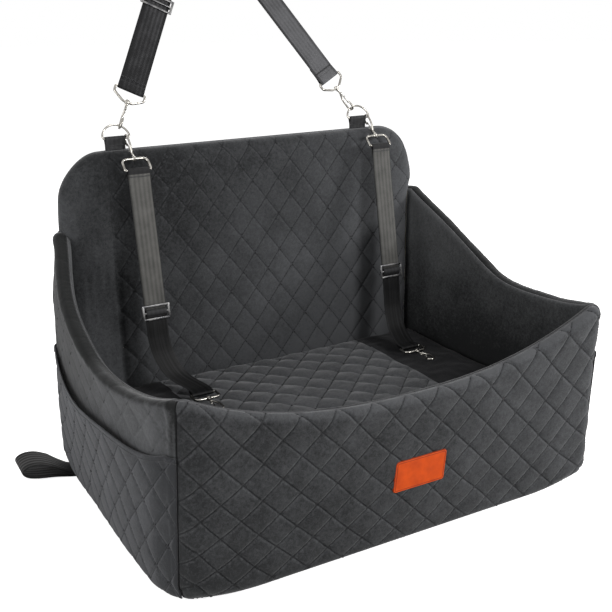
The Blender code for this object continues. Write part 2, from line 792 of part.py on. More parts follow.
def make_backrest():
    """Quilted front face, plain rear cover, and the foam between them."""
    first = CUSHION_TOP
    corner = BACKREST_HEIGHT - PAD_CORNER_RADIUS
    row_count = even_count(corner - first, BACKREST_HALF_HEIGHT)
    heights = [BOTTOM_RADIUS + GAP] + pad_rows(row_count, first, BACKREST_HEIGHT)
    inner_width = 2 * (PAD_HALF - PAD_EDGE_FRONT)
    columns = pad_columns(even_count(inner_width, BACKREST_HALF_WIDTH), PAD_EDGE_FRONT)
    first_inner = len(PAD_EDGE_SHARES)
    last_inner = len(columns) - 1 - first_inner

    def quilt_face(thickness, quilted):
        def place(i, j):
            z = heights[j]
            half = pad_half_at(z, PAD_HALF, BACKREST_HEIGHT)
            x = pad_x(columns[i], half, PAD_EDGE_FRONT)
            y = pad_front_y(x, z) + thickness
            crossing = quilted and (i + j) % 2 == 0 and first_inner <= i <= last_inner
            if crossing and 0 < j < len(heights) - 3:
                y += QUILT_DEPTH
            return Vector((x, y, z))
        return place

    data = sheet("backrest_quilt", len(columns) - 1, len(heights) - 1, quilt_face(0, True),
                 quilt_face(QUILT, False), diamonds=True)
    add_object("backrest_quilt", data, "quilted_velvet")

    back_columns = pad_columns(8, PAD_EDGE_BACK)
    back_heights = pad_rows(4, BOTTOM_RADIUS, BACKREST_HEIGHT)
    bottom = [BOTTOM_RADIUS * (1 - cos(a)) for a in spread(0, pi / 2, 4)[:-1]]
    bottom_count = len(bottom)
    rear_levels = bottom + back_heights

    def rear_face(thickness):
        def place(i, j):
            if j < bottom_count:
                angle = pi / 2 * j / bottom_count
                radius = BOTTOM_RADIUS - thickness
                depth = BOTTOM_RADIUS - radius * sin(angle)
                z = BOTTOM_RADIUS - radius * cos(angle)
                half = straight_half(HALF_WIDTH, depth) - GAP
                x = pad_x(back_columns[i], min(half, PAD_HALF), PAD_EDGE_BACK)
                recess = HALF_DEPTH - pad_back_y(x, BOTTOM_RADIUS)
                share = max(0, (j - 1) / (bottom_count - 1)) ** 2
                return Vector((x, HALF_DEPTH - depth - recess * share, z))
            z = rear_levels[j]
            half = pad_half_at(z, PAD_HALF, BACKREST_HEIGHT)
            x = pad_x(back_columns[i], half, PAD_EDGE_BACK)
            return Vector((x, pad_back_y(x, z) - thickness, z))
        return place

    data = sheet("back_cover", len(back_columns) - 1, len(rear_levels) - 1, rear_face(0),
                 rear_face(COVER))
    add_object("back_cover", data, "velvet")

    foam_columns = pad_columns(4, PAD_EDGE_FRONT)
    foam_top = BACKREST_HEIGHT - PAD_FOAM_INSET
    foam_heights = [WALL_FLOOR, BOTTOM_RADIUS] + pad_rows(2, CUSHION_TOP, foam_top)

    def foam_x(i, z):
        half = pad_half_at(z, PAD_HALF - PAD_FOAM_INSET, foam_top)
        return pad_x(foam_columns[i], half, PAD_EDGE_FRONT)

    def foam_front(i, j):
        z = foam_heights[j]
        x = foam_x(i, z)
        return Vector((x, pad_front_y(x, z) + QUILT + PAD_FOAM_EASE, z))

    def foam_back(i, j):
        z = foam_heights[j]
        x = foam_x(i, z)
        depth = COVER + PAD_FOAM_EASE
        if j == 0:
            reach = BOTTOM_RADIUS - depth
            depth = BOTTOM_RADIUS - sqrt(reach ** 2 - (BOTTOM_RADIUS - z) ** 2)
        y = pad_back_y(x, max(z, BOTTOM_RADIUS)) - depth
        return Vector((x, y, z))

    data = sheet("back_foam", len(foam_columns) - 1, len(foam_heights) - 1, foam_front,
                 foam_back)
    add_object("back_foam", data, "foam")


def rounded_slab(name, half_x, y_front, y_back, z_low, z_high, radius, finish):
    """A flat slab with round corners in plan."""
    outline = rounded_rectangle(half_x, (y_back - y_front) / 2, radius)
    data = outline_mesh(name, [outline], z_high - z_low)
    middle = Matrix.Translation((0, (y_front + y_back) / 2, (z_low + z_high) / 2))
    return add_object(name, data, finish, middle)


def make_base():
    """Underside cloth, stiff board and the foam block that raises the dog."""
    inset = BOTTOM_RADIUS + GAP
    rounded_slab("base_cover", HALF_WIDTH - inset, -HALF_DEPTH + inset, HALF_DEPTH - inset,
                 0, BASE_COVER, TIGHT_RADIUS, "base_cloth")
    inset += BOARD_MARGIN
    rounded_slab("base_board", HALF_WIDTH - inset, -HALF_DEPTH + inset, HALF_DEPTH - inset,
                 BASE_COVER + GAP, BOARD_TOP, TIGHT_RADIUS, "board")
    rear = SEAM_Y - PAD_FRONT_LOW - GAP
    rounded_slab("base_foam", HALF_WIDTH - WALL - GAP, -HALF_DEPTH + WALL + GAP, rear,
                 WALL_FLOOR, BASE_FOAM_TOP, CORNER_RADIUS, "foam")


def make_cushion():
    """Loose seat cushion: crowned, drawn in at its sides, quilted in the middle."""
    low = BASE_FOAM_TOP + GAP
    middle = (low + CUSHION_TOP) / 2
    half_x = HALF_WIDTH - WALL - CUSHION_EASE
    y_front = -HALF_DEPTH + WALL + CUSHION_EASE
    y_back = SEAM_Y - PAD_FRONT_LOW - GAP
    half_y = (y_back - y_front) / 2
    y_middle = (y_front + y_back) / 2
    reach = CUSHION_EDGE
    edges = [0, 0.08 * reach, 0.35 * reach, reach]
    inner_x = half_x - reach
    quilted = even_count(2 * CUSHION_QUILTED_HALF, CUSHION_HALF)
    plain = spread(CUSHION_QUILTED_HALF, inner_x, 3)[1:]
    middle_columns = spread(-CUSHION_QUILTED_HALF, CUSHION_QUILTED_HALF, quilted)
    columns = [-(half_x - e) for e in edges[:-1]] + [-v for v in reversed(plain)]
    columns += middle_columns + plain + [half_x - e for e in reversed(edges[:-1])]
    inner_y = half_y - reach
    rows = [-(half_y - e) for e in edges[:-1]]
    rows += spread(-inner_y, inner_y, even_count(2 * inner_y, CUSHION_HALF))
    rows += [half_y - e for e in reversed(edges[:-1])]

    def face(sign, sewn):
        def place(i, j):
            x, y = columns[i], rows[j]
            distance = min(half_x - abs(x), half_y - abs(y))
            share = edge_profile(distance, reach)
            crown = (1 - (x / half_x) ** 2) * (1 - (y / half_y) ** 2)
            full = CUSHION_TOP - middle if sewn else middle - low
            height = CUSHION_SEAM / 2 + (full - CUSHION_SEAM / 2) * share
            if sewn:
                height -= CUSHION_CROWN * (1 - crown) * share
                crossing = (i + j) % 2 == 0 and abs(x) <= CUSHION_QUILTED_HALF + MERGE
                if crossing and distance >= reach - MERGE:
                    height -= CUSHION_DEPTH
            draw_x = 1 - CUSHION_DRAW / half_x * cos(pi / 2 * y / half_y)
            draw_y = 1 - CUSHION_DRAW / half_y * cos(pi / 2 * x / half_x)
            return Vector((x * draw_x, y_middle + y * draw_y, middle + sign * height))
        return place

    data = sheet("seat_cushion", len(columns) - 1, len(rows) - 1, face(1, True),
                 face(-1, False), diamonds=True)
    add_object("seat_cushion", data, "quilted_velvet")


def make_patch():
    """Blank patch, sewn to the middle of the front wall."""
    outline = rounded_rectangle(PATCH_WIDTH / 2, PATCH_HEIGHT / 2, PATCH_CORNER)
    data = outline_mesh("front_patch", [outline], PATCH_THICKNESS, PATCH_BEVEL)
    place = frame((PATCH_X, -HALF_DEPTH - GAP - PATCH_THICKNESS / 2, PATCH_Z),
                  (1, 0, 0), (0, 0, 1))
    add_object("front_patch", data, "patch", place)


def strip(name, stations, width, thickness):
    """Webbing along stations of (point, direction of its width, direction of its face)."""
    def face(sign):
        def place(i, j):
            point, across, normal = stations[j]
            return point + across * (width * (i - 0.5)) + normal * (sign * thickness / 2)
        return place
    return sheet(name, 1, len(stations) - 1, face(1), face(-1))


def ribbon_stations(points, across):
    """Stations for a path in a plane at right angles to the width of the webbing."""
    stations = []
    for k, point in enumerate(points):
        before = points[max(k - 1, 0)]
        after = points[min(k + 1, len(points) - 1)]
        along = (Vector(after) - Vector(before)).normalized()
        normal = along.cross(across).normalized()
        stations.append((Vector(point), across, normal))
    return stations


def make_tab(side, word):
    """Webbing tab that is sewn into the seam of the backrest and holds the D-ring."""
    height = RING_BAR_RISE - GAP
    bulb = TAB_HOLE + WEBBING
    foot = TAB_FOOT / 2
    lean = atan2(foot, sqrt(bulb * bulb - foot * foot))
    bow = arc((0, height), bulb, -pi / 2 + lean, pi * 3 / 2 - lean, 14)
    outline = [(foot, 0)] + bow + [(-foot, 0)]
    hole = arc((0, height), TAB_HOLE, 0, 2 * pi, 12)[:-1]
    data = outline_mesh(word + "_ring_tab", [outline, hole], TAB_WIDTH)
    x = side * RING_X + TAB_SHIFT
    place = frame((x, SEAM_Y, BACKREST_HEIGHT + GAP), (0, 1, 0), (0, 0, 1))
    add_object(word + "_ring_tab", data, "webbing", place)


def d_ring_points():
    """Centre line of a D-ring: a straight bar, tight corners and a round bow."""
    reach = sqrt((RING_BOW - RING_CORNER) ** 2 - RING_CORNER ** 2)
    meet = atan2(RING_CORNER, reach)
    right = arc((reach, RING_CORNER), RING_CORNER, -pi / 2, meet, 3)
    bow = arc((0, 0), RING_BOW, meet, pi - meet, 14)[1:-1]
    left = [(-x, y) for x, y in reversed(right)]
    return [(x, y, 0) for x, y in right + bow + left]


def lean_direction():
    return Vector((0, sin(STRAP_LEAN), cos(STRAP_LEAN)))


def make_d_ring(side, word, pivot):
    """D-ring that tilts about its bar, inside its tab."""
    data = curve_mesh(word + "_d_ring", d_ring_points(), RING_WIRE, True, 2)
    place = frame((side * RING_X, SEAM_Y, BAR_Z), (1, 0, 0), lean_direction())
    add_object(word + "_d_ring", data, "nickel", place, pivot)


def loop_points(bar_half, far_half):
    """Centre line of a strap loop; the webbing bar lies away from the swivel."""
    square = far_half == bar_half
    shoulder = () if square else ((bar_half, -LOOP_SHOULDER),)
    right = ((bar_half, -LOOP_HEIGHT),) + shoulder + ((far_half, 0),)
    corners = right + tuple((-x, y) for x, y in reversed(right))
    points = []
    for k, corner in enumerate(corners):
        here = Vector(corner)
        trim = LOOP_TOP_CORNER if square and corner[1] == 0 else LOOP_CORNER
        to_last = (Vector(corners[k - 1]) - here).normalized()
        to_next = (Vector(corners[(k + 1) % len(corners)]) - here).normalized()
        points.append(here + to_last * trim)
        points.append(here + (to_last + to_next) * (trim * LOOP_CORNER_SHARE))
        points.append(here + to_next * trim)
    return [(p.x, p.y, 0) for p in points]


def make_loop(name, place, pivot, bar_half, far_half):
    """Strap loop: a bent wire with a bored boss, in which the hook's stem turns."""
    data = curve_mesh(name, loop_points(bar_half, far_half), LOOP_WIRE, True, 1)
    thing = add_object(name, data, "nickel", place, pivot)
    boss = rod_mesh(name + "_boss", BOSS_RADIUS, -BOSS_HALF, BOSS_HALF)
    boolean(thing, add_cutter(name + "_boss", boss, place), "UNION")
    bore = rod_mesh(name + "_bore", STEM_RADIUS + GAP, -BOSS_RADIUS, BOSS_RADIUS)
    boolean(thing, add_cutter(name + "_bore", bore, place), "DIFFERENCE")
    return thing


def hook_points():
    """Centre line of a hook: shank, knee, spine, round end and tip."""
    shoulder_top = BOSS_HALF + GAP + SHOULDER / 2
    points = [(0, shoulder_top), (0, HOOK_SHANK), (-HOOK_KNEE_SIDE, HOOK_KNEE),
              (-HOOK_BEND, HOOK_SPINE_START)]
    points += arc((0, HOOK_LENGTH), HOOK_BEND, pi, 0, 8)
    points.append((HOOK_BEND - HOOK_TIP_IN, HOOK_LENGTH - HOOK_TIP_BACK))
    return [(x, y, 0) for x, y in points]


def make_hook(name, place, pivot):
    """Snap hook: a bent wire with a lug for its gate, and a riveted swivel stem."""
    data = curve_mesh(name, hook_points(), HOOK_WIRE, False, 1)
    thing = add_object(name, data, "nickel", place, pivot)
    head_start = -BOSS_HALF - GAP - STEM_HEAD
    stem_end = BOSS_HALF + GAP + SHOULDER
    pieces = (("stem", STEM_RADIUS, head_start + STEM_HEAD / 2, stem_end - SHOULDER / 2),
              ("head", STEM_HEAD_RADIUS, head_start, head_start + STEM_HEAD),
              ("shoulder", SHOULDER_RADIUS, stem_end - SHOULDER, stem_end))
    for word, radius, start, end in pieces:
        rod = rod_mesh(name + "_" + word, radius, start, end, 10)
        boolean(thing, add_cutter(name + "_" + word, rod, place), "UNION")
    lug = rod_mesh(name + "_lug", LUG_RADIUS, -LUG_HALF, LUG_HALF)
    upright = Matrix.Translation((LUG_SIDE, LUG_BACK, 0)) @ Matrix.Rotation(pi / 2, 4, "X")
    boolean(thing, add_cutter(name + "_lug", lug, place @ upright), "UNION")
    return thing


def make_gate(name, place, pivot):
    """Spring gate: a bar from the lug to the tip of the hook, with a thumb knob."""
    start = LUG_RADIUS + GAP
    length = GATE_LENGTH
    lean = atan2(GATE_LEAN, length)
    pivot_place = place @ Matrix.Translation((LUG_SIDE, LUG_BACK, 0))
    turned = pivot_place @ Matrix.Rotation(-lean, 4, "Z")
    data = rod_mesh(name, GATE_WIRE, start, length, 8)
    thing = add_object(name, data, "nickel", turned, pivot)
    knob = rod_mesh(name + "_knob", GATE_WIRE * 0.9, 0, KNOB_LENGTH, 8)
    sideways = Matrix.Translation((0, KNOB_BACK, 0)) @ Matrix.Rotation(-pi / 2, 4, "Z")
    boolean(thing, add_cutter(name + "_knob", knob, turned @ sideways), "UNION")
    return thing


def slider_mesh(name, width):
    """Adjuster: a flat ladder in front of the webbing, with a keeper bar behind it."""
    slot_half = width / 2 + SLIDER_SLOT_EASE
    half_w = slot_half + SLIDER_RAIL
    half_h = SLIDER_HEIGHT / 2
    slot_low = SLIDER_BAR / 2
    slot_high = half_h - SLIDER_BAR
    outlines = [rounded_rectangle(half_w, half_h, SLIDER_CORNER)]
    for sign in (1, -1):
        outlines.append([(-slot_half, sign * slot_low), (slot_half, sign * slot_low),
                         (slot_half, sign * slot_high), (-slot_half, sign * slot_high)])
    return outline_mesh(name, outlines, SLIDER_THICKNESS)


def make_slider(name, place, pivot, width, stack):
    """Adjuster round webbing of a width, whose plies are stack thick together."""
    front = stack / 2 + GAP + SLIDER_THICKNESS / 2
    data = slider_mesh(name, width)
    data.transform(Matrix.Translation((0, 0, front)))
    thing = add_object(name, data, "nickel", place, pivot)
    slot_half = width / 2 + SLIDER_SLOT_EASE
    half_w = slot_half + SLIDER_RAIL - SLIDER_CORNER / 4
    bar = [(-half_w, -front - SLIDER_THICKNESS / 2), (half_w, -front - SLIDER_THICKNESS / 2),
           (half_w, front), (slot_half, front), (slot_half, -front + SLIDER_THICKNESS / 2),
           (-slot_half, -front + SLIDER_THICKNESS / 2), (-slot_half, front),
           (-half_w, front)]
    keeper = outline_mesh(name + "_keeper", [bar], SLIDER_BAR)
    turn = place @ Matrix.Rotation(pi / 2, 4, "X")
    boolean(thing, add_cutter(name + "_keeper", keeper, turn), "UNION")
    return thing


def tether_path(drift_x):
    """Places along a tether from its upper bar to its lower bar, as (x, y, z) offsets."""
    down = Vector((0, -sin(TETHER_HOOK_ANGLE), -cos(TETHER_HOOK_ANGLE)))
    bar = Vector((0, SEAM_Y, BAR_Z)) + down * (HOOK_SEAT_LENGTH + LOOP_HEIGHT)
    slider = Vector((0, SLIDER_Y, SLIDER_Z))
    foot = Vector((drift_x, TETHER_FOOT_Y, CUSHION_TOP + TETHER_FOOT_RISE))
    return bar, slider, foot


def make_tether(side, word, drift):
    """Safety tether: upper loop and hook on the D-ring, webbing, adjuster, lower hook."""
    x = side * RING_X + TAB_SHIFT + TAB_WIDTH / 2 + HOOK_TO_TAB + HOOK_WIRE
    pivot = add_pivot(word + "_tether_axis", x, SEAM_Y, BAR_Z)
    shift = Vector((x, 0, 0))
    bar, slider, foot = tether_path(drift)

    up = Vector((0, sin(TETHER_HOOK_ANGLE), cos(TETHER_HOOK_ANGLE)))
    boss = Vector((x, SEAM_Y, BAR_Z)) - up * HOOK_SEAT_LENGTH
    gate_side = Vector((0, cos(TETHER_HOOK_ANGLE), -sin(TETHER_HOOK_ANGLE)))
    upper = word + "_upper"
    make_loop(upper + "_loop", frame(boss, (1, 0, 0), up), pivot, LOOP_HALF, LOOP_HALF)
    hook_place = frame(boss, gate_side, up)
    make_hook(upper + "_hook", hook_place, pivot)
    make_gate(upper + "_gate", hook_place, pivot)

    forward = Vector((0, -1, 0))
    foot_boss = foot + shift + forward * LOOP_HEIGHT
    lower = word + "_lower"
    foot_place = frame(foot_boss, (1, 0, 0), forward)
    make_loop(lower + "_loop", foot_place, pivot, LOOP_HALF, LOOP_HALF)
    flat_place = frame(foot_boss, (-1, 0, 0), forward)
    make_hook(lower + "_hook", flat_place, pivot)
    make_gate(lower + "_gate", flat_place, pivot)

    run = (slider - bar).normalized()
    front_side = Vector((1, 0, 0)).cross(run)
    if front_side.y > 0:
        front_side = -front_side
    ply = (WEBBING + PLY_GAP) / 2
    turn_radius = LOOP_WIRE + GAP + WEBBING / 2

    front_end = slider + run * (SLIDER_HEIGHT * PLY_END_SHARE)
    path = [front_end + front_side * ply, bar + run * PLY_MEET + front_side * ply]
    for k in range(LOOP_TURN_STEPS + 1):
        angle = pi * k / LOOP_TURN_STEPS
        path.append(bar + (front_side * cos(angle) - run * sin(angle)) * turn_radius)
    path.append(bar + run * PLY_MEET - front_side * ply)
    back_line = slider + run * (SLIDER_HEIGHT * SLIDER_RUN_SHARE) - front_side * ply
    path.append(back_line)

    landing = foot + Vector((0, turn_radius, 0))
    fall = landing - back_line
    for forward_share, down_share in TETHER_BEND_SHARES:
        path.append(back_line + Vector((fall.x * down_share, fall.y * forward_share,
                                        fall.z * down_share)))
    lower_dir = (path[-1] - foot)
    lower_dir.x = 0
    lower_dir.normalize()
    over = Vector((0, -lower_dir.z, lower_dir.y))
    if over.z < 0:
        over = -over
    path.pop()
    reach = lower_dir * PLY_MEET
    path.append(foot + reach + over * ply)
    for k in range(LOOP_TURN_STEPS + 1):
        angle = pi * k / LOOP_TURN_STEPS
        path.append(foot + (over * cos(angle) - lower_dir * sin(angle)) * turn_radius)
    path.append(foot + reach - over * ply)
    path = [p + shift for p in path]
    stations = ribbon_stations(path, Vector((1, 0, 0)))
    data = strip(word + "_tether", stations, WEBBING_WIDTH, WEBBING)
    add_object(word + "_tether", data, "webbing", None, pivot)

    place = frame(slider + shift, (1, 0, 0), front_side.cross(Vector((1, 0, 0))))
    make_slider(word + "_slider", place, pivot, WEBBING_WIDTH, 2 * WEBBING + PLY_GAP)


def make_headrest_strap():
    """Strap from D-ring to D-ring over the head restraint, with two loops and hooks."""
    pivot = add_pivot("headrest_strap_axis", 0, SEAM_Y, BAR_Z)
    lean = lean_direction()
    front = Vector((0, -cos(STRAP_LEAN), sin(STRAP_LEAN)))
    legs = {}
    for side, word in ((-1, "left"), (1, "right")):
        make_d_ring(side, word, pivot)
        inward = -side
        out = Vector((inward * sin(STRAP_LEG_ANGLE), 0, 0)) + lean * cos(STRAP_LEG_ANGLE)
        across = Vector((cos(STRAP_LEG_ANGLE), 0, 0)) - lean * (inward * sin(STRAP_LEG_ANGLE))
        center = Vector((side * RING_X, SEAM_Y, BAR_Z))
        grip = center + out * RING_BOW
        boss = grip + out * HOOK_SEAT_LENGTH
        name = word + "_headrest"
        loop_place = frame(boss, across, -out)
        make_loop(name + "_loop", loop_place, pivot, STRAP_LOOP_HALF, LOOP_APEX_HALF)
        hook_place = frame(boss, front, -out)
        make_hook(name + "_hook", hook_place, pivot)
        make_gate(name + "_gate", hook_place, pivot)
        legs[side] = (boss + out * LOOP_HEIGHT, out, across)

    turn_radius = LOOP_WIRE + GAP + WEBBING / 2
    ply = (WEBBING + PLY_GAP) / 2
    left_bar, left_out, left_across = legs[-1]
    leg_length = -left_bar.x / left_out.x
    tangent = STRAP_ARCH_RADIUS / (sin(STRAP_LEG_ANGLE) / cos(STRAP_LEG_ANGLE))
    straight_end = leg_length - tangent
    stations = []

    def bar_turn(bar, out, across, tail):
        turn = [(bar + out * tail - front * ply, across, -front),
                (bar + out * PLY_MEET - front * ply, across, -front)]
        for k in range(LOOP_TURN_STEPS + 1):
            angle = pi * k / LOOP_TURN_STEPS
            normal = front * -cos(angle) - out * sin(angle)
            turn.append((bar + normal * turn_radius, across, normal))
        turn.append((bar + out * PLY_MEET + front * ply, across, front))
        return turn

    def leg(bar, out, across, inward):
        """Straight leg, then a quarter twist that turns its face outwards."""
        start = STRAP_TWIST_START
        run = [(bar + out * start + front * ply, across, front)]
        outward = across * -inward
        steps = 6
        for k in range(1, steps + 1):
            share = k / steps
            angle = pi / 2 * share
            normal = front * cos(angle) + outward * sin(angle)
            width = across * cos(angle) + front * (inward * sin(angle))
            point = bar + out * (start + (straight_end - start) * share)
            run.append((point + front * (ply * (1 - share)), width, normal))
        return run

    doubled = STRAP_SLIDER_PLACE + SLIDER_HEIGHT * PLY_END_SHARE
    stations += bar_turn(left_bar, left_out, left_across, doubled)
    stations += leg(left_bar, left_out, left_across, 1)
    apex = left_bar + left_out * leg_length
    center = apex - lean * (STRAP_ARCH_RADIUS / sin(STRAP_LEG_ANGLE))
    sweep = pi / 2 - STRAP_LEG_ANGLE
    steps = 8
    arch = []
    for k in range(1, steps):
        angle = -(pi / 2 - STRAP_LEG_ANGLE) + 2 * sweep * k / steps
        normal = Vector((sin(angle), 0, 0)) + lean * cos(angle)
        arch.append((center + normal * STRAP_ARCH_RADIUS, front, normal))
    stations += arch
    right_bar, right_out, right_across = legs[1]
    right = bar_turn(right_bar, right_out, right_across, STRAP_TAIL)
    right += leg(right_bar, right_out, right_across, -1)
    stations += [(point, -width, normal) for point, width, normal in reversed(right)]
    data = strip("headrest_strap", stations, STRAP_WIDTH, WEBBING)
    add_object("headrest_strap", data, "webbing", None, pivot)

    slider_point = left_bar + left_out * STRAP_SLIDER_PLACE
    place = frame(slider_point, left_across, front.cross(left_across))
    make_slider("headrest_slider", place, pivot, STRAP_WIDTH, 2 * WEBBING + PLY_GAP)


def make_anchor_loop(side, word):
    """Wide webbing loop on the floor beside the tub, for the seat belt; it points back."""
    low = FLOOR_CLEARANCE + WEBBING / 2
    high = low + WEBBING + PLY_GAP
    root = HALF_WIDTH - ANCHOR_ROOT
    radius = (ANCHOR_HEIGHT - WEBBING / 2 - low) / 2
    far = ANCHOR_REACH - radius - WEBBING / 2
    points = [(root, low), (HALF_WIDTH, low), ((HALF_WIDTH + far) / 2, low)]
    points += arc((far, low + radius), radius, -pi / 2, pi / 2, 8)
    top = low + 2 * radius
    middle = (HALF_WIDTH + far) / 2
    points += [(middle + radius, top - radius * 0.1), (middle, (top + high) / 2),
               (HALF_WIDTH, high + PLY_GAP), (root, high)]
    sweep = sin(ANCHOR_SWEEP) / cos(ANCHOR_SWEEP)
    path = [Vector((side * px, ANCHOR_Y + (px - root) * sweep, pz)) for px, pz in points]
    stations = ribbon_stations(path, Vector((0, 1, 0)))
    data = strip(word + "_anchor_loop", stations, ANCHOR_WIDTH, WEBBING)
    add_object(word + "_anchor_loop", data, "webbing")


def new_collection(name):
    """An empty collection in the scene."""
    old = bpy.data.collections.get(name)
    if old is not None:
        bpy.data.collections.remove(old)
    collection = bpy.data.collections.new(name)
    bpy.context.scene.collection.children.link(collection)
    return collection


clear_scene()
PARTS = new_collection(PART_NAME)
CUTTERS = new_collection(PART_NAME + "_cutters")

make_base()
make_cushion()
make_front_wall()
make_side_wall(-1, "left")
make_side_wall(1, "right")
make_backrest()
make_patch()
make_tab(-1, "left")
make_tab(1, "right")
make_headrest_strap()
make_tether(-1, "left", LEFT_DRIFT)
make_tether(1, "right", RIGHT_DRIFT)
make_anchor_loop(-1, "left")
make_anchor_loop(1, "right")
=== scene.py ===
# %% [markdown]
# Dog car seat, dressed for a studio picture.
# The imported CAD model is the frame: it holds every solid, joint and size. Here each soft
# solid gets its real surface on top: quilted velvet, smooth lining, woven webbing and
# bright bent wire. All of it keeps the places that the frame gives.

# %% Load the frame
import bpy
import bmesh
import numpy as np
from functools import partial
from math import atan2, ceil, cos, floor, hypot, pi, radians, sin, sqrt, tan
from mathutils import Matrix, Vector


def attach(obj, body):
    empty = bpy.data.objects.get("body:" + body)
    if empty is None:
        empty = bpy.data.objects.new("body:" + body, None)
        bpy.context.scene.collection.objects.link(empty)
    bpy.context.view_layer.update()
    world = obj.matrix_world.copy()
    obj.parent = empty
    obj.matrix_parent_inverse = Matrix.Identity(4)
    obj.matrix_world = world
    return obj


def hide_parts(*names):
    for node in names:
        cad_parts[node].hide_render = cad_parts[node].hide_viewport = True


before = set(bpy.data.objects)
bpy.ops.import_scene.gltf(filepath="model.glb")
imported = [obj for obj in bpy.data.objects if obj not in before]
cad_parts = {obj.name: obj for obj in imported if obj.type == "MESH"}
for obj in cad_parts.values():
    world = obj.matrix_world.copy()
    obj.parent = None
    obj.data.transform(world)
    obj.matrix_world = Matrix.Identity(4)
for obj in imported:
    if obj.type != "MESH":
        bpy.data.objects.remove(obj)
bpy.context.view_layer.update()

scene = bpy.context.scene
SIDES = ((-1, "left"), (1, "right"))


def add_object(name, data):
    """A new object in the scene."""
    piece = bpy.data.objects.new(name, data)
    scene.collection.objects.link(piece)
    return piece


# %% [markdown]
# Colours are written as the hex values that a picture editor shows, and turned to the
# linear values that the renderer works in. Materials are node trees, and one small
# function adds a node, sets it up and links it. It gives back an output socket, so that
# nodes can be written inside one another like a formula.

# %% Colour and node helpers


def linear(hex_color):
    """A hex colour as linear RGBA."""
    parts = [int(hex_color[i:i + 2], 16) / 255 for i in (0, 2, 4)]
    parts = [c / 12.92 if c <= 0.04045 else ((c + 0.055) / 1.055) ** 2.4 for c in parts]
    return (*parts, 1.0)


def node(tree, kind, inputs=(), out=0, stops=(), **settings):
    """Adds a node and gives the socket of one of its outputs.

    kind may name an operation after a space; inputs are values or sockets, in order or by
    name; stops are a ramp's places and hex colours; settings are the node's properties.
    """
    kind, *operation = kind.split()
    made = tree.nodes.new(kind if "Node" in kind else "ShaderNode" + kind)
    if operation:
        made.operation = operation[0]
    for key, value in settings.items():
        setattr(made, key, value)
    for key, value in inputs.items() if isinstance(inputs, dict) else enumerate(inputs):
        if isinstance(value, bpy.types.NodeSocket):
            tree.links.new(value, made.inputs[key])
        elif value is not None:
            made.inputs[key].default_value = value
    for number, (place, hex_color) in enumerate(stops):
        if number > 1:
            made.color_ramp.elements.new(1.0)
        made.color_ramp.elements[number].position = place
        made.color_ramp.elements[number].color = linear(hex_color)
    return made.outputs[out] if len(made.outputs) else None


def new_material(name):
    """An empty material, given with the function that adds nodes to it."""
    material = bpy.data.materials.new(name)
    material.use_nodes = True
    material.node_tree.nodes.clear()
    return material, partial(node, material.node_tree)


def coated(material, color, relief, strength, distance, values):
    """Ends a material: its colour, its relief as bump, and values of other sockets."""
    add = partial(node, material.node_tree)
    bump = add("Bump", {"Height": relief, "Strength": strength, "Distance": distance})
    shader = add("BsdfPrincipled", {"Base Color": color, "Normal": bump, **values})
    add("OutputMaterial", [shader])
    return material


# %% [markdown]
# The camera stands where the photographer stood: about 1.7 m from the seat, a little
# above it and 30 degrees round to the left. The place and lens were solved from points
# of known size in the photograph.

# %% Camera
CAMERA_PLACE = Vector((-0.7909, -1.3250, 0.8002))
CAMERA_YAW = radians(30.06)
CAMERA_PITCH = radians(17.98)
CAMERA_ROLL = radians(-0.56)
FOCAL_PIXELS, FRAME_PIXELS = 982.2, 612
SENSOR_MM = 36

camera_data = bpy.data.cameras.new("studio_camera")
camera_data.sensor_width = SENSOR_MM
camera_data.lens = FOCAL_PIXELS / FRAME_PIXELS * SENSOR_MM
camera = add_object("studio_camera", camera_data)
ahead = Vector((sin(CAMERA_YAW) * cos(CAMERA_PITCH), cos(CAMERA_YAW) * cos(CAMERA_PITCH),
                -sin(CAMERA_PITCH)))
right = Vector((cos(CAMERA_YAW), -sin(CAMERA_YAW), 0))
above = right.cross(ahead)
turned_right = right * cos(CAMERA_ROLL) + above * sin(CAMERA_ROLL)
turned_above = above * cos(CAMERA_ROLL) - right * sin(CAMERA_ROLL)
axes = Matrix((turned_right, turned_above, -ahead)).transposed().to_4x4()
axes.translation = CAMERA_PLACE
camera.matrix_world = axes
scene.camera = camera
print("camera lens %.1f mm" % camera_data.lens)

# %% [markdown]
# A product picture of dark cloth wants large soft lamps. The main one stands in front, a
# little to the right, so the straps throw a soft shadow on the backrest. One far to the
# right grazes the front panel, so each sewn line gets a bright and a dark side. A low one
# at the left lights the side, and one behind draws the rims. The floor and the world are
# white to the camera, and to bright metal, which mirrors them.

# %% Lamps, world and floor


def area_lamp(name, place, aim, size, power):
    """A square soft lamp at a place, turned towards a point."""
    data = bpy.data.lights.new(name, "AREA")
    data.shape = "SQUARE"
    data.size = size
    data.energy = power
    lamp = add_object(name, data)
    lamp.location = place
    lamp.rotation_euler = (Vector(aim) - Vector(place)).to_track_quat("-Z", "Y").to_euler()


area_lamp("key_front", (0.8, -2.5, 1.7), (0, 0, 0.25), 0.8, 44)
area_lamp("graze_right", (2.5, -1.05, 0.95), (0, -0.1, 0.25), 0.5, 46)
area_lamp("side_left", (-2.5, -0.5, 0.9), (0, 0, 0.25), 1.4, 40)
area_lamp("rim_back", (0.7, 1.9, 2.0), (0, 0, 0.35), 1.4, 26)

world = bpy.data.worlds.new("studio")
scene.world = world
world.use_nodes = True
world.node_tree.nodes.clear()
add = partial(node, world.node_tree)
path = add("LightPath").node.outputs
seen = add("Math MAXIMUM", [path["Is Glossy Ray"], path["Is Transmission Ray"]])
seen = add("Math MAXIMUM", [path["Is Camera Ray"], seen])
dim = add("Background", {"Color": (1, 1, 1, 1), "Strength": 0.36})
white = add("Background", {"Color": (1, 1, 1, 1), "Strength": 1.0})
add("OutputWorld", [add("MixShader", [seen, dim, white])])

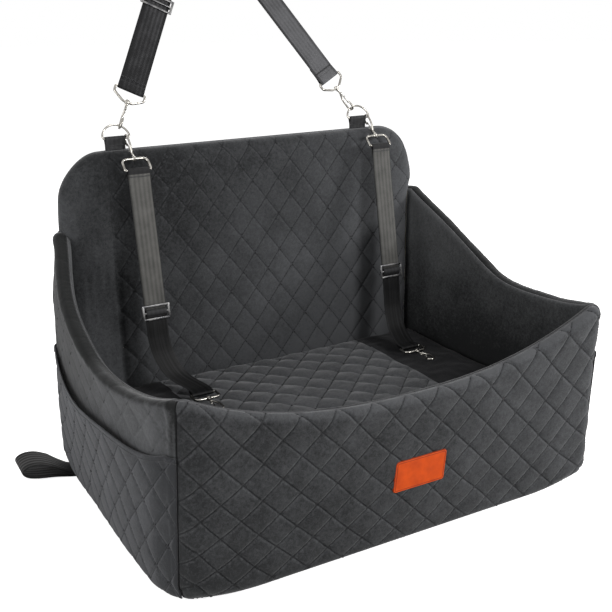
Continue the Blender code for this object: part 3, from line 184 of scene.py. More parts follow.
floor_mesh = bmesh.new()
bmesh.ops.create_circle(floor_mesh, cap_ends=True, radius=14, segments=96,
                        matrix=Matrix.Translation((0, 0, -0.0008)))
floor_data = bpy.data.meshes.new("floor")
floor_mesh.to_mesh(floor_data)
floor_mesh.free()
floor_plate = add_object("floor", floor_data)
material, add = new_material("white_floor")
paint = add("BsdfDiffuse", {"Color": linear("e8e8e8")})
glow = add("Emission", {"Color": (1, 1, 1, 1), "Strength": 0.78})
lit = add("AddShader", [paint, glow])
add("OutputMaterial", [add("MixShader", [add("LightPath", out="Is Camera Ray"), paint, lit])])
floor_data.materials.append(material)

scene.view_settings.view_transform = "Standard"

# %% [markdown]
# These are the sizes of the sewn shell, as on a cutting table: the tub, its rim line, the
# thickness of its walls and the grid of its quilting. They match the solids. Cloth over
# foam also swells and leans, and a few small rules say how: all soft pieces share them,
# so that they stay joined.

# %% Sizes of the shell
BODY_WIDTH, BODY_DEPTH, BACK_HEIGHT = 0.750, 0.529, 0.545
HALF_W, HALF_D = BODY_WIDTH / 2, BODY_DEPTH / 2
CORNER, BOTTOM, WALL = 0.026, 0.036, 0.024
ROLL = WALL / 2
TIGHT = 0.0005
FRONT_DIP, CORNER_RIM, SIDE_DIP, REAR_RIM = 0.233, 0.301, 0.282, 0.418
SIDE_BEND_Y, SIDE_BEND_LENGTH, SIDE_RISE_Y = -0.020, 0.040, -0.080
SIDE_BULGE, BULGE_HEIGHT = 0.012, 0.300
FRONT_RIM_POWER = 2.43
WALL_FLOOR = 0.0086
CUSHION_TOP = 0.142
SEAM_Y = 0.2505
PAD_HALF = HALF_W - CORNER - 0.0003
PAD_CORNER = 0.070
CLOTH = 0.0020
SIDE_OVER = radians(48)
LOW_EDGE, LOW_CORNER, LOW_BULGE = 0.010, 0.035, 0.009
PUFF = 0.0022


def corner_radius(depth):
    """Plan radius of a corner at a depth under the cloth."""
    return np.maximum(CORNER - depth, TIGHT)


def straight_half(half, depth):
    """Half the straight run of a wall, between its corners."""
    return half - depth - corner_radius(depth)


def straight_share(u):
    """Share of the way from a wall's middle to the end of its straight run."""
    return np.clip(np.abs(u), 0, 1)


def corner_angle(u):
    """How far a column lies past the straight run, as an angle round the corner."""
    return np.clip(np.abs(u) - 1, 0, None)


def rear_climb(y):
    """A bend from level to a slope of one, softened around its middle."""
    past = y - SIDE_BEND_Y
    return (np.hypot(past, SIDE_BEND_LENGTH) + past) / 2


def front_rim(t):
    """Height of the front rim at a share of the way from the middle to a corner."""
    return FRONT_DIP + (CORNER_RIM - FRONT_DIP) * straight_share(t) ** FRONT_RIM_POWER


def side_rim(t):
    """Height of the side rim from front (-1) to rear (1)."""
    end = straight_half(HALF_D, 0)
    t = np.clip(t, -1, 1)
    y = end * t
    full = rear_climb(end)
    height = SIDE_DIP + (REAR_RIM - SIDE_DIP) * rear_climb(y) / full
    first = (REAR_RIM - SIDE_DIP) * rear_climb(-end) / full
    share = np.clip((SIDE_RISE_Y - y) / (SIDE_RISE_Y + end), 0, 1)
    return height + (CORNER_RIM - SIDE_DIP - first) * share ** 2


def seam_turn(z):
    """How far round its corner the front panel reaches; lower down it goes further."""
    return 1 + 0.55 * (1 - np.clip(z / 0.28, 0, 1))


def low_radius(u):
    """Radius of the cloth's lower edge: tight along a side, rounder near a corner."""
    share = np.clip((np.abs(u) - 0.70) / 0.30, 0, 1) ** 2
    return LOW_EDGE + (LOW_CORNER - LOW_EDGE) * share


def rim_puff(below):
    """How far the stuffed rim swells, by the distance along the cloth from its crown."""
    return PUFF * np.exp(-((below - 0.022) / 0.014) ** 2)


def ease(value, start, end):
    """A smooth step from 0 at start to 1 at end."""
    t = np.clip((value - start) / (end - start), 0, 1)
    return t * t * (3 - 2 * t)


def stacked(*parts):
    """Arrays of coordinates as one array of points or of map places."""
    return np.stack(parts, -1)


def settled(points):
    """Moves points of the soft shell to where a stuffed seat settles.

    The right front corner leans out and up and the right rim stands a little higher, while
    the left side leans out along its middle and stands lower.
    The left side's rear top is drawn in to the backrest, whose right edge flares.
    The left front corner and the backrest's left top are worn rounder.
    """
    x, y, z = points[..., 0], points[..., 1], points[..., 2]
    out = points.copy()
    corner = ease(x, 0.10, 0.37) * ease(-y, 0.02, 0.26) * np.clip(z / 0.30, 0, 1.1) ** 2
    drawn = ease(-x, 0.3488, 0.3508) * ease(y, 0.02, 0.22) * ease(z, 0.30, 0.40)
    flare = ease(x, 0.30, 0.35) * ease(y, 0.12, 0.25) * np.exp(-((z - 0.445) / 0.03) ** 2)
    worn = ease(-x, 0.262, 0.345) * ease(z, 0.42, 0.54) * ease(y, 0.15, 0.23)
    raised = (ease(x, 0.30, 0.36) * ease(z, 0.20, 0.29) * ease(y, -0.26, -0.10)
              * (1 - 0.6 * ease(y, 0.10, 0.24)))
    foot = ease(-x, 0.29, 0.37) * ease(-y, 0.18, 0.26) * (1 - ease(z, 0, 0.05))
    wide = 0.007 * (np.clip((-x - 0.305) / 0.070, 0, 1) * np.clip((-y - 0.195) / 0.070, 0, 1)
                    * ease(z, 0, 0.02)) ** 1.5
    lean = (ease(-x, 0.325, 0.350) * np.clip(1 - (y / 0.235) ** 2, 0, 1)
            * np.clip(z / 0.30, 0, 1.3) ** 1.5)
    out[..., 0] += 0.007 * corner + 0.013 * drawn + 0.010 * flare + 0.006 * worn + wide
    out[..., 0] -= 0.013 * lean
    out[..., 1] += wide - 0.003 * corner
    out[..., 2] += 0.006 * corner - 0.007 * worn + 0.007 * raised + 0.002 * foot
    out[..., 2] -= 0.008 * lean
    return out


print("shell %.0f x %.0f x %.0f mm" % (BODY_WIDTH * 1e3, BODY_DEPTH * 1e3, BACK_HEIGHT * 1e3))

# %% [markdown]
# Every soft surface is a fine grid of points laid by a rule, so that seams, puffs and
# folds can be written as heights on it. Each grid keeps two maps: one in quilting cells,
# which the stitch lines follow, and one in metres, which the weave follows. A Solidify
# modifier then gives the cloth its thickness, as a closed shell.

# %% Cloth surface helpers
rng = np.random.default_rng(7)
NOISE = rng.random((64, 64, 64)).astype(np.float32)


def soft_noise(points, scale):
    """Smooth noise between -1 and 1 at points, with lumps about scale metres wide."""
    q = points / scale + 17.3
    base = np.floor(q).astype(int)
    f = q - base
    f = f * f * (3 - 2 * f)
    total = 0
    for dx in (0, 1):
        for dy in (0, 1):
            for dz in (0, 1):
                weight = (np.where(dx, f[..., 0], 1 - f[..., 0])
                          * np.where(dy, f[..., 1], 1 - f[..., 1])
                          * np.where(dz, f[..., 2], 1 - f[..., 2]))
                corner = NOISE[(base[..., 0] + dx) % 64, (base[..., 1] + dy) % 64,
                               (base[..., 2] + dz) % 64]
                total = total + weight * corner
    return total * 2 - 1


def grid_normals(points):
    """Unit normals of a grid of points, along its rows crossed with its columns."""
    across = np.gradient(points, axis=0)
    along = np.gradient(points, axis=1)
    normal = np.cross(across, along)
    length = np.linalg.norm(normal, axis=2, keepdims=True)
    return normal / np.maximum(length, 1e-12)


def grid_faces(columns, rows):
    """Quads between neighbouring points of a grid, by the points' numbers."""
    index = np.arange(columns * rows).reshape(columns, rows)
    quads = np.stack([index[:-1, :-1], index[1:, :-1], index[1:, 1:], index[:-1, 1:]], -1)
    return quads.reshape(-1, 4)


def add_mesh(name, points, faces, maps=None):
    """A smooth mesh object; maps are named values for each point, kept as UV maps."""
    data = bpy.data.meshes.new(name)
    data.from_pydata(points.reshape(-1, 3), [], faces.tolist())
    for label, values in (maps or {}).items():
        layer = data.uv_layers.new(name=label)
        spread = values.reshape(-1, 2)[faces.ravel()]
        layer.data.foreach_set("uv", spread.astype(np.float32).ravel())
    data.shade_smooth()
    data.update()
    return add_object(name, data)


def evaluated_mesh(piece):
    """A piece's mesh as its modifiers or curve settings make it."""
    graph = bpy.context.evaluated_depsgraph_get()
    graph.update()
    return bpy.data.meshes.new_from_object(piece.evaluated_get(graph))


def apply_modifiers(piece):
    """Replaces the mesh by its evaluated copy, and removes the modifiers."""
    old, piece.data = piece.data, evaluated_mesh(piece)
    piece.modifiers.clear()
    bpy.data.meshes.remove(old)
    piece.data.name = piece.name


def cloth_piece(name, points, cells, metres, thickness=CLOTH):
    """A sheet of cloth from a grid of points, columns first, with its two maps."""
    piece = add_mesh(name, points, grid_faces(*points.shape[:2]),
                     {"quilt": cells, "weave": metres})
    if thickness:
        shell = piece.modifiers.new("thickness", "SOLIDIFY")
        shell.thickness = thickness
        shell.offset = -1
        apply_modifiers(piece)
    return piece


def two_sided(name, upper, lower, maps=None):
    """A closed pad between two grids of the same count: its two skins and a thin edge.

    maps are for the points of both skins, the upper ones first.
    """
    columns, rows = upper.shape[:2]
    count = columns * rows
    index = np.arange(count).reshape(columns, rows)
    faces = grid_faces(columns, rows)
    rim = np.concatenate([index[:, 0], index[-1, 1:], index[-2::-1, -1], index[0, -2:0:-1]])
    wall = np.stack([rim + count, np.roll(rim, -1) + count, np.roll(rim, -1), rim], -1)
    every = np.concatenate([faces, (faces + count)[:, ::-1], wall])
    return add_mesh(name, np.concatenate([upper.reshape(-1, 3), lower.reshape(-1, 3)]), every,
                    maps)


def finish_piece(piece, material, body, slot_name, *nodes):
    """Gives a piece its material, its body and the solids that it stands for."""
    piece.data.materials.clear()
    piece.data.materials.append(material)
    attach(piece, body)
    if nodes:
        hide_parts(*nodes)
    return piece


# %% [markdown]
# The quilting is a grid of sewn diamonds. On the walls it is a thin wadding: almost flat
# fields, narrow sunk lines and a small sewn ring where two lines meet. On the cushion the
# wadding is thick, so the fields swell like pillows. One rule serves both: how high the
# cloth stands at a place inside its diamond.

# %% Quilting rule


def quilt_cells(across, up, half_width, half_height):
    """Cell coordinates of a diamond lattice; its lines lie on whole numbers."""
    s = (across / half_width + up / half_height) / 2
    t = (across / half_width - up / half_height) / 2
    return stacked(s, t)


def quilt_height(cells, spacing, depth, groove, pillow, knot=0.0):
    """Height over the sewn lines.

    spacing is the distance between lines, depth and groove the narrow valley along each
    line, pillow the swell of the field, and knot the bump where lines cross.
    """
    away = np.abs(cells - np.round(cells)) * spacing
    near = np.minimum(away[..., 0], away[..., 1])
    valley = depth * (1 - np.exp(-(near / groove) ** 1.5))
    swell = pillow * np.sqrt(np.abs(np.sin(pi * cells[..., 0]) * np.sin(pi * cells[..., 1])))
    height = valley + swell
    if knot:
        reach = np.hypot(away[..., 0], away[..., 1])
        height += knot * np.exp(-(reach / 0.0019) ** 2)
    return height


WALL_CELL = (0.029, 0.0275)
BACK_CELL = (0.026, 0.033)
CUSHION_CELL = (0.0295, 0.0295)


def cell_spacing(cell):
    """Distance between neighbouring lines of a lattice."""
    return 2 * cell[0] * cell[1] / hypot(cell[0], cell[1])


WALL_LINES, BACK_LINES, CUSHION_LINES = map(cell_spacing, (WALL_CELL, BACK_CELL, CUSHION_CELL))
print("wall quilting: lines %.1f mm apart" % (WALL_LINES * 1e3))

# %% [markdown]
# The stitches themselves are thousands of small thread bumps, so Geometry Nodes lay them:
# a line is resampled at the stitch pitch, a short thread is put on every point, turned
# along the line, and all are made real. Here they lie on the lines of the lattice, which
# are traced on each finished grid, and on a small ring where two lines cross.

# %% Stitches by Geometry Nodes
STITCH_SIZES = {"Pitch": 0.0056, "Length": 0.0036, "Thread": 0.0013}


def stitch_tree(name, material):
    """A tree with named sizes that sews stitches of a thread along a mesh's lines."""
    tree = bpy.data.node_groups.new(name, "GeometryNodeTree")
    ports = tree.interface
    ports.new_socket("Lines", in_out="INPUT", socket_type="NodeSocketGeometry")
    for label, value in STITCH_SIZES.items():
        port = ports.new_socket(label, in_out="INPUT", socket_type="NodeSocketFloat")
        port.default_value = value
    ports.new_socket("Stitches", in_out="OUTPUT", socket_type="NodeSocketGeometry")
    add = partial(node, tree)
    given = add("NodeGroupInput").node.outputs
    curve = add("GeometryNodeMeshToCurve", {"Mesh": given["Lines"]})
    curve = add("GeometryNodeResampleCurve", {"Curve": curve, "Length": given["Pitch"]},
                mode="LENGTH")
    turn = add("FunctionNodeAlignRotationToVector",
               {"Vector": add("GeometryNodeInputTangent")}, axis="Z")
    thread = add("GeometryNodeMeshUVSphere", {"Segments": 6, "Rings": 4, "Radius": 0.5})
    size = add("CombineXYZ", [given["Thread"], given["Thread"], given["Length"]])
    laid = add("GeometryNodeInstanceOnPoints", {"Points": curve, "Instance": thread,
               "Rotation": turn, "Scale": size})
    real = add("GeometryNodeRealizeInstances", {"Geometry": laid})
    done = add("GeometryNodeSetMaterial", {"Geometry": real, "Material": material})
    add("NodeGroupOutput", [done])
    return tree


def sewn(name, lines, tree, body="tub", slot_name="outer_velvet", **sizes):
    """Stitches along lines of points, as one finished piece."""
    points = np.concatenate([np.asarray(line, float) for line in lines])
    ends = np.cumsum([len(line) for line in lines])
    first = np.arange(len(points) - 1)
    first = first[~np.isin(first, ends - 1)]
    data = bpy.data.meshes.new(name)
    data.from_pydata(points.tolist(), stacked(first, first + 1).tolist(), [])
    piece = add_object(name, data)
    layer = piece.modifiers.new("stitches", "NODES")
    layer.node_group = tree
    for port in tree.interface.items_tree:
        if port.name in sizes:
            layer[port.identifier] = sizes[port.name]
    apply_modifiers(piece)
    piece.data.shade_smooth()
    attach(piece, body)
    print(name, len(piece.data.polygons), "faces")
    return piece


def quilt_lines(points, cells, spacing, keep=None, ring=0.0031, lift=0.0001, trace=True):
    """The lattice's lines on a grid, stopped at the rings where they cross, and the rings."""
    normals = grid_normals(points)
    rows = np.arange(points.shape[1])
    fine = np.linspace(0, 1, 5)[:-1]
    lines, rings = [], []
    for axis in (0, 1):
        value = cells[..., axis]
        for number in range(ceil(value.min()), floor(value.max()) + 1):
            spots = []
            for column in range(points.shape[0]):
                climb = value[column]
                if climb[0] > climb[-1]:
                    row = np.interp(-number, -climb, rows, -1, -1)
                else:
                    row = np.interp(number, climb, rows, -1, -1)
                low = min(int(row), len(rows) - 2) if row >= 0 else 0
                part = row - low
                mix = [(1 - part) * grid[column, low] + part * grid[column, low + 1]
                       for grid in (points, normals, cells[..., 1 - axis:2 - axis])]
                good = row > 0 and (keep is None or keep[column, low])
                spots.append((*mix[0], *mix[1], *mix[2], float(good)))
            spots = np.array(spots)
            steps = (spots[:-1, None] * (1 - fine[:, None]) + spots[1:, None] * fine[:, None])
            steps = steps.reshape(-1, 8)
            other = steps[:, 6]
            whole = np.round(other)
            good = steps[:, 7] > 0.99
            clear = good & (np.abs(other - whole) * spacing > ring + 0.0004)
            cuts = np.flatnonzero(np.diff(clear.astype(int)))
            for run in np.split(np.arange(len(steps)), cuts + 1):
                if trace and clear[run[0]] and len(run) > 3:
                    lines.append(steps[run, :3] + steps[run, 3:6] * lift)
            if axis:
                continue
            crossed = np.flatnonzero(good[:-1] & good[1:]
                                     & (np.floor(other[:-1]) != np.floor(other[1:])))
            for k in crossed:
                first = steps[k + 1, :3] - steps[k, :3]
                first /= max(np.linalg.norm(first), 1e-9)
                second = np.cross(steps[k, 3:6], first)
                angle = np.linspace(0, 2 * pi, 13)[:, None]
                rings.append(steps[k, :3] + steps[k, 3:6] * (lift + 0.0003)
                             + ring * (np.cos(angle) * first + np.sin(angle) * second))
    return lines + rings


# %% [markdown]
# The seat's cloth is short-pile velvet. It has no gloss: it is dark where the pile leans
# towards the eye and pale where it leans away, so the colour is mixed from two greys by
# clouds, small crushed spots and the pile itself, and a sheen lifts the edges. Light and
# shade are also painted into the colour: the tone climbs slowly across each panel as the
# lamps' light falls off, faces that turn up are painted lighter on some panels and darker
# on others, and faces that turn to the front are painted darker. Along a seam the colour is
# painted darker, partly for the pressed pile and partly for the shade in its valley, with a
# painted highlight on the edge beside it.

# %% Velvet material


def velvet(name, dark, light, sheen=0.3, painted_light_slopes=(0, 0, 0), lean=0.0, stitched=None,
           valley=0.0020, pressed="dededf", upper=0.0, turned=0.0):
    """Short-pile velvet.

    nap is how the tone climbs along x, y and z for each metre, a painted fall of light
    across a panel, and lean what is added to it; upper is painted light added where the
    cloth faces up (painted shade when below 0), turned painted shade taken where it faces
    the front, valley the width and pressed the tint of the painted shade along a seam, and
    stitched the distance between quilting lines in metres.
    """
    material, add = new_material(name)
    place = add("TexCoord", out="Object")
    cloudy = add("TexNoise", {"Vector": place, "Scale": 15.0, "Detail": 3.0, "Roughness": 0.6})
    crushed = add("TexNoise", {"Vector": place, "Scale": 190.0, "Detail": 5.0,
                  "Roughness": 0.75, "Distortion": 0.6})
    # Pile tufts are under 0.3 mm; they are drawn at 0.9 mm so that they show.
    pile = add("TexNoise", {"Vector": place, "Scale": 1100.0, "Detail": 2.0})
    # Painted light: the tone climbs across a panel as the lamps' light falls off.
    climb = add("VectorMath DOT_PRODUCT", [place, painted_light_slopes], out="Value")
    tone = add("Math MULTIPLY_ADD", [cloudy, 0.35, climb])
    tone = add("Math MULTIPLY_ADD", [crushed, 0.62, tone])
    tone = add("Math MULTIPLY_ADD", [pile, 0.30, tone])
    tone = add("Math ADD", [tone, lean])
    # Painted light and shade by the way a face turns: upper adds light where it faces up, turned
    # takes some away where it faces the front.
    facing = add("SeparateXYZ", [add("NewGeometry", out="Normal")]).node.outputs
    raised = add("MapRange", [facing["Z"], 0.1, 0.8, 0, upper])
    aside = add("MapRange", [facing["Y"], -0.75, -0.02, turned, 0])
    tone = add("Math SUBTRACT", [add("Math ADD", [tone, raised]), aside])
    color = add("ValToRGB", [tone], stops=[(0.42, dark), (0.88, light)])
    height = add("Math MULTIPLY_ADD", [pile, 0.6, crushed])
    # Painted shade along each seam line, partly for the pressed pile, and a painted highlight on
    # the edge beside it.
    if stitched:
        cell = add("SeparateXYZ", [add("UVMap", uv_map="quilt")]).node.outputs
        off = [add("Math PINGPONG", [cell[axis], 0.5]) for axis in "XY"]
        near = add("Math MINIMUM", off)
        seam_shade = add("MapRange", [near, 0, valley / stitched, 1, 0],
                    interpolation_type="SMOOTHERSTEP")
        edge = add("MapRange", [near, valley / stitched, 2.6 * valley / stitched,
                   1, 0], interpolation_type="SMOOTHSTEP")
        edge = add("Math SUBTRACT", [edge, seam_shade], use_clamp=True)
        fade = add("MapRange", [crushed, 0.42, 0.60, 0.0, 0.28])
        lit = add("Math MULTIPLY", [edge, fade])
        color = add("MixRGB", [lit, color, linear(light)])
        color = add("MixRGB", [seam_shade, color, linear(pressed)], blend_type="MULTIPLY")
    return coated(material, color, height, 0.5, 0.0007,
                  {"Roughness": 0.92, "IOR": 1.45, "Specular IOR Level": 0.15,
                   "Sheen Weight": sheen, "Sheen Roughness": 0.45,
                   "Sheen Tint": linear("cfcfd0")})


def thread_material(name, dark, light):
    """Spun polyester thread: two greys in turn along its twist, barely glossy."""
    material, add = new_material(name)
    place = add("TexCoord", out="Object")
    # The real twist is 0.4 mm long; at 0.8 mm it still shows in a close view.
    twist = add("TexWave", {"Vector": place, "Scale": 400.0, "Distortion": 2.0})
    color = add("ValToRGB", [twist], stops=[(0.2, dark), (0.8, light)])
    return coated(material, color, twist, 0.3, 0.0002,
                  {"Roughness": 0.7, "Specular IOR Level": 0.2})


# Painted light: the front panel is lighter to the right and upwards, and lighter where it faces
# up.
quilted_velvet = velvet("quilted_velvet", "1e1f20", "4b4c4e", painted_light_slopes=(0.22, 0, 0.25),
                        lean=-0.12, upper=0.25, stitched=WALL_LINES)
# Painted light and shade: the pockets are lighter towards the rear and darker where they turn to
# the front corner.
pocket_velvet = velvet("pocket_velvet", "27282a", "4e4f52", painted_light_slopes=(0, 0.25, 0), turned=0.35,
                       stitched=WALL_LINES, valley=0.0016, pressed="e8e8ea")
# Painted light: the backrest is lighter to the right, darker upwards, and darker where it faces
# the front.
back_velvet = velvet("backrest_velvet", "1c1d1e", "494a4c", painted_light_slopes=(0.62, 0, -0.75),
                     lean=0.50, turned=0.2, stitched=BACK_LINES)
# Painted light and shadow: the plain strip is lighter towards its left edge, darker towards the
# quilting where the left tether's shadow falls, and darker upwards.
strip_velvet = velvet("strip_velvet", "1e1f20", "4b4c4e", painted_light_slopes=(-1.2, 0, -0.75), lean=-0.13)
cushion_velvet = velvet("cushion_velvet", "303133", "5a5b5d", sheen=0.35, stitched=CUSHION_LINES)
# Painted shade: the cushion's plain border is much darker than its quilted middle, for the shade
# that the walls throw on it.
shaded_border_velvet = velvet("shaded_border_velvet", "0c0c0d", "242426", sheen=0.08)
# Painted light and shade: the plain sides are lighter towards the front and lower down, and
# darker where they face up and where they turn to the front corner.
plain_velvet = velvet("plain_velvet", "111212", "4d4e50", painted_light_slopes=(0, -1.0, -0.90), lean=0.19,
                      sheen=0.38, upper=-0.36, turned=0.42)
# Painted shade: the linings are darker further down inside the tub.
lining_velvet = velvet("lining_velvet", "1a1b1c", "505152", painted_light_slopes=(0, 0.2, 1.6), lean=-0.48,
                       sheen=0.2)
rear_velvet = velvet("rear_velvet", "242526", "454648")
quilt_thread = stitch_tree("quilt_thread", thread_material("dark_thread", "131314", "232324"))
seam_thread = stitch_tree("seam_thread", thread_material("grey_thread", "2c2c2d", "48484a"))

# %% [markdown]
# The front wall is one quilted panel from corner to corner. It starts under the tub, goes
# round the bottom edge, up, and over the top to the seam in the middle of the rim. Its
# ends stop at the two vertical corner seams.

# %% Front cover


def section_outer(length, rim, u, past=0.0):
    """Depth and height along the outside of a wall, by length from its lower edge.

    length holds shares from 0 to 1, rim the height and u the column of each point. The
    cloth lies flat under the tub first, then turns up. past is the angle by which it goes
    on over the crown.
    """
    radius = low_radius(u)
    flat = BOTTOM - radius
    arc_low = radius * pi / 2
    arc_top = ROLL * (pi / 2 + past)
    straight = rim - ROLL - radius
    s = length * (flat + arc_low + straight + arc_top)
    a = np.clip((s - flat) / radius, 0, pi / 2)
    b = np.clip((s - flat - arc_low - straight) / ROLL, 0, None)
    up = np.clip(s - flat - arc_low, 0, straight)
    depth = np.clip(BOTTOM - s, radius, None) - radius * np.sin(a) + ROLL * (1 - np.cos(b))
    z = 0.0004 + (radius - 0.0004) * (1 - np.cos(a)) + up + ROLL * np.sin(b)
    crown = (1 - length) * (flat + arc_low + straight + arc_top)
    return depth, z, s - BOTTOM * pi / 2, crown


def front_panel(u, depth, z):
    """Plan of the front wall: u from -1 to 1 is the straight run, past it the corner."""
    radius = corner_radius(depth)
    half = straight_half(HALF_W, depth)
    over = corner_angle(u) * seam_turn(z)
    x = half * straight_share(u) + radius * np.sin(over)
    y = -HALF_D + depth + radius * (1 - np.cos(over))
    return np.sign(u) * x, y


def panel_stations(corner_a, corner_b, count, steps):
    """Columns: a corner arc as angles past 1, the straight run, and another arc."""
    left = -1 - np.linspace(corner_a, 0, steps, endpoint=False)
    middle = np.linspace(-1, 1, count)
    right = 1 + np.linspace(0, corner_b, steps + 1)[1:]
    return np.concatenate([left, middle, right])


def panel_grid(stations, rows):
    """The column and the share of the height, from 0 to 1, of each point of a panel."""
    return np.meshgrid(panel_stations(*stations), np.linspace(0, 1, rows), indexing="ij")


def run_along(u, half):
    """Length of cloth from the middle of a wall to a column."""
    return np.sign(u) * (half * straight_share(u) + CORNER * corner_angle(u))


def seam_pucker(along, gap, reach=0.014):
    """Small gathers that the thread pulls into the cloth close to a seam."""
    wave = np.sin(along / 0.0046 * 2 * pi + 1.7 * np.sin(along / 0.021))
    return 0.00055 * wave * np.exp(-(gap / reach) ** 2) * ease(gap, 0.001, 0.005)


def build_front_cover():
    u, v = panel_grid((pi / 4, pi / 4, 314, 10), 142)
    depth, z, up, crown = section_outer(v, front_rim(u), u)
    base = stacked(*front_panel(u, depth, z), z)
    across = run_along(u, straight_half(HALF_W, 0))
    # Sewing stretched this panel, so its lattice is wider at the left than at the right.
    level = up + 0.0248
    wide = (5.133 + 34.30 * across - 9.18 * level + 1.42 * across ** 2
            - 5.00 * across * level + 19.2 * level ** 2)
    tall = (-7.124 + 0.33 * across + 44.50 * level - 6.50 * across ** 2
            - 2.83 * across * level - 28.5 * level ** 2)
    cells = quilt_cells(wide + 0.045 * soft_noise(base, 0.05),
                        tall + 0.045 * soft_noise(base + 5, 0.05), 1, 1)
    height = quilt_height(cells, WALL_LINES, 0.0021, 0.0013, 0.0022, 0.0006)
    height += 0.0009 * soft_noise(base, 0.035) + 0.0013 * soft_noise(base, 0.12)
    height += rim_puff(crown)
    # The panel is held at its seams: at both ends and along the crown.
    end_gap = (1 + pi / 4 - np.abs(u)) * CORNER
    hold = ease(end_gap, -0.001, 0.007) * ease(crown, -0.001, 0.006) * ease(z, 0.002, 0.024)
    height = (height - 0.0024) * hold - 0.0012 * (1 - np.clip(end_gap / 0.004, 0, 1))
    height += seam_pucker(across, crown) + seam_pucker(z, end_gap, 0.009) * hold
    points = settled(base + grid_normals(base) * height[..., None])
    piece = cloth_piece("front_cover_cloth", points, cells, stacked(across, up))
    finish_piece(piece, quilted_velvet, "tub", "quilted_velvet", "front_cover")
    sewn("front_cover_stitches", quilt_lines(points, cells, WALL_LINES,
         keep=(crown > 0.004) & (z > 0.004)), quilt_thread)
    return piece


front_cover = build_front_cover()
print("front cover:", len(front_cover.data.polygons), "faces")

# %% [markdown]
# Each side is a plain velvet cover with a faint quilting that shows only as knots near
# the rim. It bulges a little, because the foam in it is soft, and climbs to the backrest.

# %% Side covers and linings


def side_panel(u, depth, z):
    """Plan of the left side; u below -1 and above 1 are its two corners."""
    radius = corner_radius(depth)
    half_x = straight_half(HALF_W, depth)
    half_y = straight_half(HALF_D, depth)
    over = corner_angle(u) * np.where(u < 0, 2 - seam_turn(z), 1)
    x = -(half_x + radius * np.cos(over))
    y = np.sign(u) * (half_y * straight_share(u) + radius * np.sin(over))
    return x, y


def side_bulge(u, z):
    """How far the foam side leans out."""
    return (1 - straight_share(u) ** 2) * SIDE_BULGE * z / BULGE_HEIGHT


def side_swell(u, z):
    """How far the cloth outside swells low down, mostly towards the front."""
    return (LOW_BULGE * ease(-u, -0.9, 0.6) * (1 - straight_share(u) ** 6)
            * np.exp(-((z - 0.05) / 0.08) ** 2))


def over_turn(u):
    """Angle past the crown at which a side cover ends; none at the front corner."""
    return SIDE_OVER * ease(u, -1.4, -0.75)


def mirrored(side, points, *maps):
    """A left side's grids, made right where side is 1 with faces still outward."""
    points = points.copy()
    points[..., 0] *= -side
    points = settled(points)
    if side < 0:
        return points[::-1], *(grid[::-1] for grid in maps)
    return points, *maps


def build_side_cover(side, word):
    u, v = panel_grid((pi / 4, pi / 2, 172, 9), 120)
    depth, z, up, crown = section_outer(v, side_rim(u), u, over_turn(u))
    x, y = side_panel(u, depth, z)
    base = stacked(x - side_bulge(u, z) - side_swell(u, z), y, z)
    along = run_along(u, straight_half(HALF_D, 0))
    cells = quilt_cells(along, up, *WALL_CELL)
    height = 0.4 * quilt_height(cells, WALL_LINES, 0.0010, 0.0018, 0.0008, 0.0016)
    height += 0.0014 * soft_noise(base + side, 0.05) + 0.0016 * soft_noise(base, 0.14)
    height += rim_puff(crown)
    front_gap = (u + 1 + pi / 4) * CORNER
    rear_gap = (1 + pi / 2 - u) * CORNER
    gap = np.minimum(front_gap, rear_gap)
    hold = ease(gap, -0.001, 0.008) * ease(crown, -0.001, 0.007) * np.clip(v / 0.10, 0, 1)
    height = (height - 0.0014) * hold
    height += seam_pucker(along, crown, 0.010) + seam_pucker(z, front_gap) * hold
    points = base - grid_normals(base) * height[..., None]
    points, cells, metres, low, below = mirrored(side, points, cells, stacked(along, up), z,
                                                 crown)
    piece = cloth_piece(word + "_side_cloth", points, cells, metres)
    finish_piece(piece, plain_velvet, "tub", "outer_velvet", word + "_side_cover")
    sewn(word + "_side_knots", quilt_lines(points, cells, WALL_LINES, trace=False,
         keep=(below > 0.008) & (low > 0.215), ring=0.0022), quilt_thread, Thread=0.0006)
    return piece


def section_inner(v, rim, past=0.0):
    """Depth and height down the inside of a wall, from an angle past the crown."""
    arc_top = ROLL * (pi / 2 - past)
    straight = rim - ROLL - WALL_FLOOR
    s = v * (arc_top + straight)
    a = np.minimum(past + s / ROLL, pi / 2)
    top = s < arc_top
    depth = np.where(top, ROLL + ROLL * np.sin(a), WALL)
    z = np.where(top, rim - ROLL + ROLL * np.cos(a), rim - ROLL - (s - arc_top))
    return depth, z, s


def build_lining(side, word):
    """Lining of a side, or of the front where side is 0."""
    ends = (pi / 4, pi / 4, 120, 4) if side == 0 else (pi / 4, pi / 2, 96, 5)
    u, v = panel_grid(ends, 70)
    rim = (front_rim if side == 0 else side_rim)(u)
    depth, z, down = section_inner(v, rim, over_turn(u) if side else 0.0)
    x, y = (front_panel if side == 0 else side_panel)(u, depth, z)
    along = x if side == 0 else y
    if side != 0:
        x = x - side_bulge(u, z)
    base = stacked(x, y, z)
    height = 0.0014 * soft_noise(base + side * 3, 0.10) + 0.0006 * soft_noise(base, 0.03)
    height = height * np.clip(v / 0.05, 0, 1) * np.clip((1 - v) / 0.05, 0, 1)
    inward = -1 if side == 0 else 1
    points = base + grid_normals(base) * (inward * (height - 0.0002)[..., None])
    metres = stacked(along, down)
    if side == 0:
        points, metres = settled(points)[::-1], metres[::-1]
    else:
        points, metres = mirrored(-side, points * (-1, 1, 1), metres)
    piece = cloth_piece(word + "_lining_cloth", points, metres, metres, 0.0012)
    node_name = "front_lining" if side == 0 else word + "_side_lining"
    return finish_piece(piece, lining_velvet, "tub", "lining_velvet", node_name)


side_covers = [build_side_cover(side, word) for side, word in SIDES]
for side, word in ((0, "front"), *SIDES):
    build_lining(side, word)
print("side cover:", len(side_covers[0].data.polygons), "faces")

